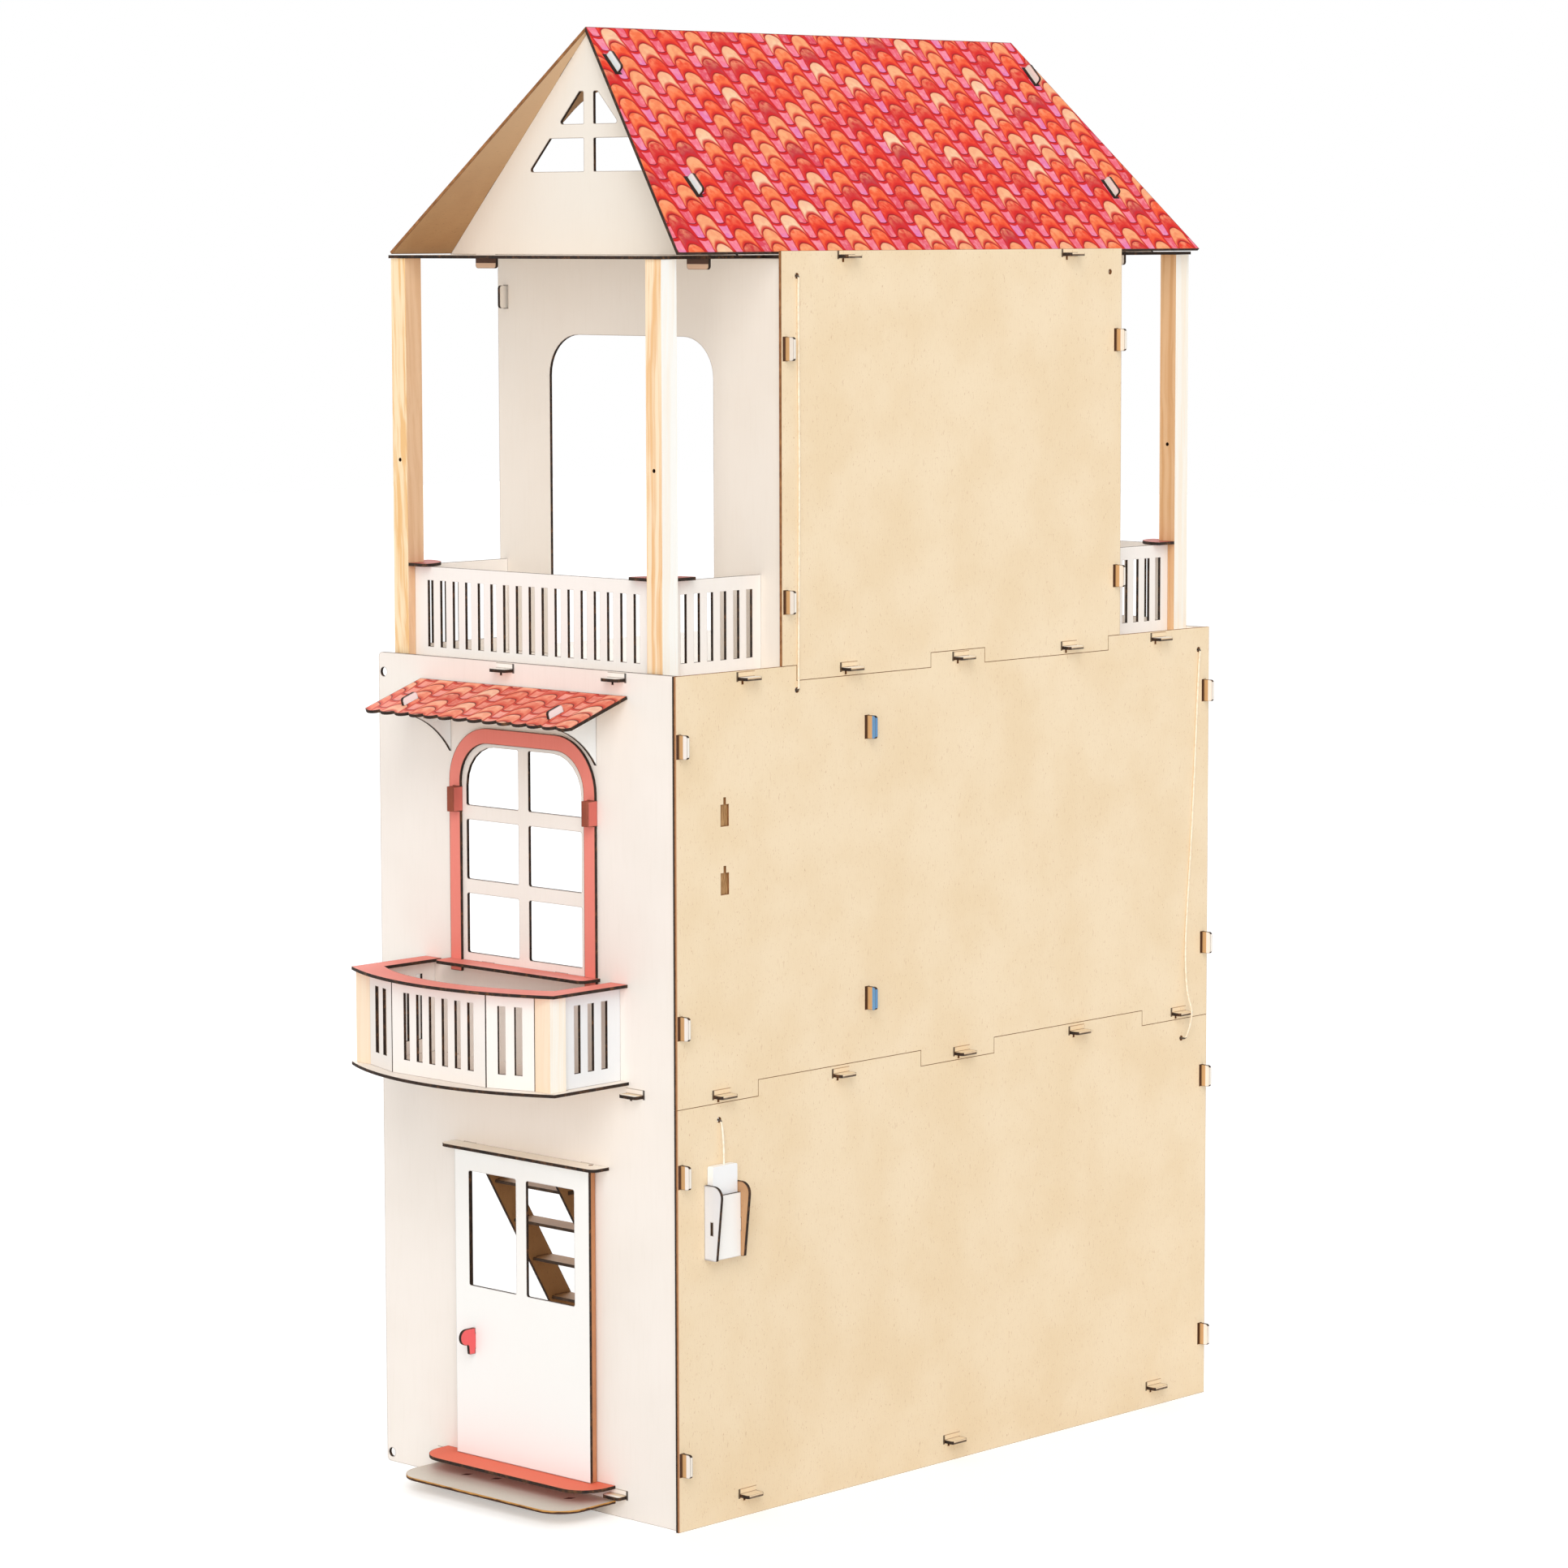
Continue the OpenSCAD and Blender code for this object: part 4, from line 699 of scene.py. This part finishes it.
# The lower step's off-white paint, darkened grey as painted shade from the upper step
STEP_SHADED_GREY = painted("step_paint", srgb(222, 214, 202), srgb(206, 196, 182), rim=0.5,
                    nicks=((-262.0, -22.2), (-229.3, -14.1), (-124.6, -18.8)),
                    tones=(srgb(206, 152, 88), srgb(120, 74, 36)))
SALMON = painted("salmon_paint", srgb(242, 140, 126), srgb(232, 124, 110), 0.62, rim=0.7)
PEG_RED = painted("peg_paint", srgb(212, 110, 98), srgb(198, 94, 84), 0.62, rim=0.7)
CAP_RED = painted("cap_paint", srgb(178, 88, 76), srgb(156, 70, 60), 0.62)
STEP_SALMON = painted("step_salmon_paint", srgb(238, 116, 88), srgb(230, 102, 76), 0.62, rim=0.7)
BLUE = painted("blue_paint", srgb(104, 156, 204), srgb(88, 140, 192), tabs=7.0)
BIRCH_RIM = (srgb(196, 142, 84), srgb(96, 62, 32))
BIRCH = wood("birch_veneer", srgb(248, 227, 194), srgb(243, 219, 182), srgb(186, 130, 74),
             tones=BIRCH_RIM, back=True)
BIRCH_FLOOR = wood("birch_floor", srgb(244, 225, 194), srgb(238, 216, 181), srgb(186, 148, 104), 1,
                   porch=True)
# The slopes' underside: birch darkened to brown as painted shade, and lighter toward the ridge as
# painted light
SLOPE_UNDER = wood("slope_underside", srgb(184, 144, 100), srgb(170, 128, 86), srgb(112, 76, 46), 1,
                   ridge_light=srgb(224, 190, 152))
# The lintel's ply, lightened to near white as painted light against the shade of the balcony above
LINTEL_LIGHTENED = wood("lintel_ply", srgb(255, 253, 247), srgb(255, 248, 238), srgb(226, 196, 166), 0)
BROWN = wood("brown_ply", srgb(176, 134, 90), srgb(150, 108, 68), srgb(96, 62, 38))
TAN = wood("tan_ply", srgb(240, 212, 176), srgb(226, 194, 154), srgb(168, 124, 84))
POCKET_TAN = wood("pocket_inside_ply", srgb(204, 158, 116), srgb(190, 142, 100), srgb(140, 96, 62))
ROD_WOOD = wood("rod_ply", srgb(198, 136, 94), srgb(178, 118, 78), srgb(120, 70, 40))
TIP_WOOD = wood("tab_end_birch", srgb(250, 230, 198), srgb(240, 214, 176), srgb(176, 136, 92))
BIRCH_EDGE = cut_birch()
STEP_EDGE = cut_step()
PEG_END = wood("peg_end_ply", srgb(158, 80, 56), srgb(128, 60, 42), srgb(84, 40, 28))
HANDLE_RED = painted("handle_paint", srgb(236, 98, 100), srgb(226, 84, 88), rim=0.7)
COOL_WHITE = painted("side_panel_paint", srgb(238, 240, 242), srgb(230, 232, 234))
# The brackets' white, with a cool tint painted against the red light that the awning throws on them
BRACKET_WHITE = painted("bracket_paint", srgb(248, 252, 253), srgb(242, 246, 248))
POCKET_WHITE = painted("pocket_paint", srgb(231, 232, 237), srgb(223, 222, 226))
TIP_WHITE = painted("tab_end_white", srgb(252, 246, 236), srgb(244, 234, 218))
PINE = pine("pine_post", srgb(254, 230, 196), srgb(242, 194, 140), 0.9,
            ((255, 254, 249), (254, 243, 226)), -0.02)
# The play-side front post: its x-facing sides take darker tones as painted shade
PINE_PLAY = pine("pine_post_play", srgb(254, 230, 190), srgb(243, 196, 136), 0.9,
                 ((232, 194, 156), (218, 174, 132)), 0.06)
# Pine darkened for the far posts: painted shade
PINE_SHADED = pine("pine_post_far", srgb(228, 186, 142), srgb(216, 166, 116))
PINE_PALE = pine("pine_corner_post", srgb(254, 232, 205), srgb(253, 227, 197), 0.08)
BURNT = burnt_edge()
ROOF_TILES = tile_print(
    "roof_tile_print",
    lambda f: f.y - 112.0,
    lambda f: (f.x + RIDGE_X).size() / math.cos(ROOF_PITCH) - 0.3,
    {"pitch": 37.05, "row": 18.2, "half": 13.2, "arch": 11.0, "pan_drop": 11.8, "wander": 3.2,
     "before": (10, 4)},
    {"cover": [(0.00, srgb(192, 40, 60)), (0.08, srgb(212, 44, 50)), (0.20, srgb(238, 56, 32)),
               (0.40, srgb(250, 92, 46)), (0.62, srgb(254, 134, 80)), (0.84, srgb(255, 172, 120)),
               (1.00, srgb(255, 220, 182))],
     "light": srgb(255, 176, 130), "shade": srgb(214, 24, 28), "line": srgb(160, 14, 24),
     "pan": [(0.0, srgb(222, 70, 92)), (0.3, srgb(238, 98, 120)), (0.75, srgb(248, 132, 156)),
             (1.0, srgb(232, 122, 176))],
     "foot": srgb(216, 126, 204), "glint": srgb(255, 178, 186), "pan_line": srgb(132, 10, 40)},
    {"along": (368.5, 965.5), "down": (119.5, 274.5), "half": 11.0})
AWNING_PITCH = math.radians(18.4)
AWNING_TILES = tile_print(
    "awning_tile_print",
    lambda f: f.x + 268.3,
    lambda f: (4.0 - f.y) / math.cos(AWNING_PITCH) - 9.0,
    {"pitch": 38.3, "row": 16.5, "half": 13.5, "arch": 9.6, "pan_drop": 10.5, "wander": 3.4,
     "before": (5, 3)},
    {"cover": [(0.00, srgb(218, 96, 80)), (0.25, srgb(240, 126, 98)), (0.55, srgb(250, 156, 124)),
               (0.85, srgb(255, 186, 152)), (1.00, srgb(255, 214, 184))],
     "light": srgb(255, 196, 168), "shade": srgb(214, 74, 58), "line": srgb(128, 44, 36),
     "pan": [(0.0, srgb(222, 104, 90)), (0.5, srgb(240, 140, 118)), (1.0, srgb(246, 160, 146))],
     "foot": srgb(232, 130, 140), "glint": srgb(255, 190, 170), "pan_line": srgb(120, 40, 40)})
SHELL = painted("battery_plastic", srgb(253, 254, 255), srgb(248, 250, 254), 0.35)


# ---------- stair treads: one board, repeated by a node group ----------

# The lowest tread in the house's own places and the step to the next one; inset and tongue shape
# the ends that go through the stringers, arris is what is taken off the level edges
TREAD = {"count": 8, "x": (-388.0, -286.0), "y": 261.519, "foot": 45.3, "depth": 25.0, "thick": PLY,
         "tongue": 5.0, "inset": 3.15, "arris": 0.35, "rim": 0.8, "step": (0.0, -25.6412, 43.0)}


def flight_of_boards(name):
    """A node group that lays a board again and again along a climbing line"""
    group = bpy.data.node_groups.new(name, "GeometryNodeTree")
    face = group.interface
    face.new_socket("Board", in_out="INPUT", socket_type="NodeSocketGeometry")
    for label, kind in (("Count", "NodeSocketInt"), ("Step", "NodeSocketVector"),
                        ("Finish", "NodeSocketMaterial")):
        face.new_socket(label, in_out="INPUT", socket_type=kind)
    face.new_socket("Flight", in_out="OUTPUT", socket_type="NodeSocketGeometry")
    add, join = group.nodes.new, group.links.new
    start, end = add("NodeGroupInput"), add("NodeGroupOutput")
    line = add("GeometryNodeMeshLine")
    line.mode = "OFFSET"
    join(start.outputs["Count"], line.inputs["Count"])
    join(start.outputs["Step"], line.inputs["Offset"])
    place = add("GeometryNodeInstanceOnPoints")
    join(line.outputs["Mesh"], place.inputs["Points"])
    join(start.outputs["Board"], place.inputs["Instance"])
    real = add("GeometryNodeRealizeInstances")
    join(place.outputs["Instances"], real.inputs["Geometry"])
    dress = add("GeometryNodeSetMaterial")
    join(real.outputs["Geometry"], dress.inputs["Geometry"])
    join(start.outputs["Finish"], dress.inputs["Material"])
    join(dress.outputs["Geometry"], end.inputs["Flight"])
    return group


def tread_board():
    """The lowest tread, with its tongues through the stringers and its arrises taken off"""
    (x0, x1), y0, deep = TREAD["x"], TREAD["y"], TREAD["depth"]
    inset, tongue = TREAD["inset"], TREAD["tongue"]
    outline = [(x0 + inset, y0), (x1 - inset, y0), (x1 - inset, y0 + tongue), (x1, y0 + tongue),
               (x1, y0 + deep - tongue), (x1 - inset, y0 + deep - tongue), (x1 - inset, y0 + deep),
               (x0 + inset, y0 + deep), (x0 + inset, y0 + deep - tongue), (x0, y0 + deep - tongue),
               (x0, y0 + tongue), (x0 + inset, y0 + tongue)]
    work = bmesh.new()
    scorch = work.loops.layers.float.new("scorch")
    lower = work.faces.new([work.verts.new(at(x, y, TREAD["foot"])) for x, y in outline])
    raised = bmesh.ops.extrude_face_region(work, geom=[lower])["geom"]
    bmesh.ops.translate(work, verts=[v for v in raised if isinstance(v, bmesh.types.BMVert)],
                        vec=(0, 0, TREAD["thick"] * MM))
    bmesh.ops.recalc_face_normals(work, faces=work.faces)
    level = [e for e in work.edges if abs(e.verts[0].co.z - e.verts[1].co.z) < 1e-6]
    bmesh.ops.bevel(work, geom=level, offset=TREAD["arris"] * MM, segments=2, affect="EDGES",
                    profile=0.5)
    flat = 0.95
    for side in (1, -1):
        faces = [f for f in work.faces if f.normal.z * side > flat]
        ring_round(work, scorch, faces, TREAD["rim"])
    for face in work.faces:
        if abs(face.normal.z) < flat:
            for corner in face.loops:
                corner[scorch] = 1.0
    mesh = bpy.data.meshes.new("tread_board")
    work.to_mesh(mesh)
    work.free()
    return mesh


def make_treads():
    """Lays the flight, fixes it as one mesh and lets it stand for the CAD's treads"""
    seed = bpy.data.objects.new("tread_board", tread_board())
    bpy.context.scene.collection.objects.link(seed)
    group = flight_of_boards("flight_of_boards")
    modifier = seed.modifiers.new("flight", "NODES")
    modifier.node_group = group
    sockets = {s.name: s.identifier for s in group.interface.items_tree if s.in_out == "INPUT"}
    modifier[sockets["Count"]] = TREAD["count"]
    modifier[sockets["Step"]] = [c * MM for c in TREAD["step"]]
    modifier[sockets["Finish"]] = BROWN
    depsgraph = bpy.context.evaluated_depsgraph_get()
    baked = bpy.data.meshes.new_from_object(seed.evaluated_get(depsgraph))
    seed.modifiers.clear()
    bpy.data.objects.remove(seed)
    baked.name = "stair_treads_boards"
    piece = bpy.data.objects.new("stair_treads_boards", baked)
    bpy.context.scene.collection.objects.link(piece)
    settle(piece, "stair_treads")


make_treads()


# ---------- the sheets and the pieces that keep their shape ----------

# Sheet: which way its outer face looks, roughly, the finishes outside and inside, and the slot
SHEETS = {
    "base_floor": ((0, 0, 1), BIRCH_FLOOR, BIRCH_FLOOR, "birch_ply"),
    "first_floor": ((0, 0, 1), BIRCH_FLOOR, CREAM, "birch_ply"),
    "terrace_floor": ((0, 0, 1), TERRACE_CREAM, CREAM, "birch_ply"),
    "attic_floor": ((0, 0, 1), CREAM, CREAM, "birch_ply"),
    "facade_wall": ((0, -1, 0), FACADE_WHITE, WHITE, "white_painted_ply"),
    "far_end_wall": ((0, 1, 0), WHITE, FACADE_WHITE, "white_painted_ply"),
    "back_wall_ground": ((1, 0, 0), BIRCH, WHITE, "birch_ply"),
    "back_wall_first": ((1, 0, 0), BIRCH, WHITE, "birch_ply"),
    "back_wall_top": ((1, 0, 0), BIRCH, WHITE, "birch_ply"),
    "partition_wall": ((0, -1, 0), BLUE, BLUE, "blue_painted_ply"),
    "stair_stringer_left": ((-1, 0, 0), BROWN, BROWN, "brown_ply"),
    "stair_stringer_right": ((1, 0, 0), BROWN, BROWN, "brown_ply"),
    "upper_end_wall_front": ((0, -1, 0), END_CREAM, CREAM, "white_painted_ply"),
    "upper_end_wall_far": ((0, 1, 0), CREAM, END_CREAM, "white_painted_ply"),
    "upper_play_beam": ((-1, 0, 0), CREAM, CREAM, "white_painted_ply"),
    "gable_front": ((0, -1, 0), GABLE_CREAM, CREAM, "white_painted_ply"),
    "gable_far": ((0, 1, 0), GABLE_CREAM, CREAM, "white_painted_ply"),
    "roof_slope_back": ((0.73, 0, 0.68), ROOF_TILES, SLOPE_UNDER, "tile_print_ply"),
    "roof_slope_play": ((-0.73, 0, 0.68), ROOF_TILES, SLOPE_UNDER, "tile_print_ply"),
    "end_rail_front": ((0, -1, 0), WHITE, WHITE, "white_painted_ply"),
    "end_rail_far": ((0, 1, 0), WHITE, WHITE, "white_painted_ply"),
    "side_rail_front_back": ((1, 0, 0), WHITE, WHITE, "white_painted_ply"),
    "side_rail_front_play": ((-1, 0, 0), WHITE, WHITE, "white_painted_ply"),
    "side_rail_far_back": ((1, 0, 0), WHITE, WHITE, "white_painted_ply"),
    "side_rail_far_play": ((-1, 0, 0), WHITE, WHITE, "white_painted_ply"),
    "rail_corner_caps": ((0, 0, 1), CAP_RED, CAP_RED, "red_painted_ply"),
    "window_frame": ((0, -1, 0), SALMON, SALMON, "red_painted_ply"),
    "window_pegs": ((1, 0, 0), PEG_RED, PEG_RED, "red_painted_ply"),
    "window_sill": ((0, 0, 1), SALMON, SALMON, "red_painted_ply"),
    "awning_panel": ((0, -0.32, 0.95), AWNING_TILES, TAN, "tile_print_ply"),
    "awning_brackets": ((1, 0, 0), BRACKET_WHITE, BRACKET_WHITE, "white_painted_ply"),
    "balcony_floor": ((0, 0, 1), CREAM, TAN, "white_painted_ply"),
    "balcony_panel_middle": ((0, -1, 0), WHITE, WHITE, "white_painted_ply"),
    "balcony_panel_left": ((-0.3, -0.95, 0), WHITE, WHITE, "white_painted_ply"),
    "balcony_panel_right": ((0.3, -0.95, 0), WHITE, WHITE, "white_painted_ply"),
    "balcony_side_left": ((-1, 0, 0), COOL_WHITE, WHITE, "white_painted_ply"),
    "balcony_side_right": ((1, 0, 0), COOL_WHITE, WHITE, "white_painted_ply"),
    "balcony_cap": ((0, 0, 1), SALMON, SALMON, "red_painted_ply"),
    "door_leaf": ((0, -1, 0), DOOR_WHITE, WHITE, "white_painted_ply"),
    "door_handle": ((1, 0, 0), HANDLE_RED, HANDLE_RED, "red_painted_ply"),
    "door_lintel": ((0, 0, 1), LINTEL_LIGHTENED, LINTEL_LIGHTENED, "birch_ply"),
    "door_step_upper": ((0, 0, 1), STEP_SALMON, STEP_SALMON, "red_painted_ply"),
    "door_step_lower": ((0, 0, 1), STEP_SHADED_GREY, TAN, "birch_ply"),
    "pocket_side_near": ((0, -1, 0), POCKET_WHITE, WHITE, "white_painted_ply"),
    "pocket_side_far": ((0, 1, 0), TAN, POCKET_TAN, "white_painted_ply"),
    "pocket_front": ((1, 0, 0.1), DOOR_WHITE, WHITE, "white_painted_ply"),
    "pocket_floor": ((0, 0, 1), WHITE, WHITE, "white_painted_ply"),
}

# The sheets with narrow openings, which get the narrow rim like the back walls
NARROW = {"balcony_panel_middle", "balcony_panel_left", "balcony_panel_right", "balcony_side_left",
          "balcony_side_right", "end_rail_front", "end_rail_far", "side_rail_front_back",
          "side_rail_front_play", "side_rail_far_back", "side_rail_far_play", "door_lintel"}
# Cut edges that aren't charred all over
EDGES = {"window_pegs": PEG_END, "door_step_lower": STEP_EDGE, "roof_slope_play": BIRCH_EDGE}
# The ends of the tabs that stand out of the back wall
TIPS = {
    "base_floor": TIP_WOOD, "first_floor": TIP_WOOD, "terrace_floor": TIP_WOOD,
    "attic_floor": TIP_WOOD, "facade_wall": TIP_WHITE, "far_end_wall": TIP_WHITE,
    "upper_end_wall_front": TIP_WHITE, "upper_end_wall_far": TIP_WHITE, "partition_wall": BLUE,
}

for node, (outward, outer, inner, slot) in SHEETS.items():
    back_wall = node.startswith("back_wall")
    edge = EDGES.get(node, BIRCH_EDGE if back_wall else BURNT)
    rim = NARROW_RIM if node in NARROW or back_wall else RIM
    settle(cut_sheet(node, outward, outer, inner, edge, rim, TIPS.get(node)), node)

# Solid pieces that keep their CAD shape
KEPT = {
    "post_front_back": PINE, "post_front_play": PINE_PLAY, "post_far_back": PINE_SHADED,
    "post_far_play": PINE_SHADED, "balcony_corner_left": PINE_PALE, "balcony_corner_right": PINE_PALE,
    "door_pivot_rod": ROD_WOOD, "battery_case": SHELL,
}
for node, material in KEPT.items():
    for slot in frame["nodes"][node].material_slots:
        slot.material = material


# ---------- floor, light and backdrop ----------

# The strength of the light from all round, of the floor's own glow as the camera sees it, and half
# the floor's width in metres
AMBIENT, FLOOR_GLOW, FLOOR_HALF = 0.56, 0.38, 14.0
# Name, the side that it shines from, its height, strength and softness in degrees
LAMPS = (
    ("key", -47.0, 40.0, 1.0, 34.0),
    ("front", -50.0, 5.0, 1.05, 36.0),
    ("fill", 140.0, 35.0, 1.0, 50.0),
)


def light_world():
    """Soft light from all round, with a plain white backdrop for the camera and for reflections"""
    world = bpy.data.worlds.new("studio")
    bpy.context.scene.world = world
    world.use_nodes = True
    tree = world.node_tree
    tree.nodes.clear()
    rays = tree.nodes.new("ShaderNodeLightPath")
    plain = tree.nodes.new("ShaderNodeBackground")
    plain.inputs["Color"].default_value = (1.0, 0.99, 0.975, 1.0)
    plain.inputs["Strength"].default_value = AMBIENT
    bright = tree.nodes.new("ShaderNodeBackground")
    bright.inputs["Strength"].default_value = 1.0
    bright.inputs["Color"].default_value = (1.0, 1.0, 1.0, 1.0)
    seen = tree.nodes.new("ShaderNodeMath")
    seen.operation = "MAXIMUM"
    tree.links.new(rays.outputs["Is Camera Ray"], seen.inputs[0])
    tree.links.new(rays.outputs["Is Glossy Ray"], seen.inputs[1])
    choose = tree.nodes.new("ShaderNodeMixShader")
    tree.links.new(seen.outputs[0], choose.inputs[0])
    tree.links.new(plain.outputs[0], choose.inputs[1])
    tree.links.new(bright.outputs[0], choose.inputs[2])
    out = tree.nodes.new("ShaderNodeOutputWorld")
    tree.links.new(choose.outputs[0], out.inputs[0])


def hang_lamps():
    """Suns that light the back, the facade and the play side"""
    for name, azimuth, height, strength, spread in LAMPS:
        data = bpy.data.lights.new(name, "SUN")
        data.energy = strength
        data.angle = math.radians(spread)
        lamp = bpy.data.objects.new(name, data)
        a, h = math.radians(azimuth), math.radians(height)
        towards = Vector((math.cos(a) * math.cos(h), math.sin(a) * math.cos(h), math.sin(h)))
        lamp.rotation_euler = towards.to_track_quat("Z", "Y").to_euler()
        bpy.context.scene.collection.objects.link(lamp)


def lay_floor():
    """A pale floor that takes the shadows and runs into the backdrop"""
    work = bmesh.new()
    bmesh.ops.create_grid(work, x_segments=8, y_segments=8, size=FLOOR_HALF)
    mesh = bpy.data.meshes.new("studio_floor")
    work.to_mesh(mesh)
    work.free()
    floor = bpy.data.objects.new("studio_floor", mesh)
    bpy.context.scene.collection.objects.link(floor)
    finish = Finish("studio_floor", 0.9)
    finish.paint(srgb(232, 232, 232))
    finish.shader.inputs["Specular IOR Level"].default_value = 0.0
    glow = finish.node("ShaderNodeEmission")
    glow.inputs["Color"].default_value = (1.0, 1.0, 1.0, 1.0)
    rays = finish.node("ShaderNodeLightPath")
    lit = finish.math("MULTIPLY", rays.outputs["Is Camera Ray"], FLOOR_GLOW)
    finish.join(lit.socket, glow.inputs["Strength"])
    add = finish.node("ShaderNodeAddShader")
    out = next(n for n in finish.tree.nodes if n.type == "OUTPUT_MATERIAL")
    finish.join(finish.shader.outputs[0], add.inputs[0])
    finish.join(glow.outputs[0], add.inputs[1])
    finish.join(add.outputs[0], out.inputs["Surface"])
    mesh.materials.append(finish.material)


light_world()
hang_lamps()
lay_floor()

bpy.context.scene.view_settings.view_transform = "Standard"
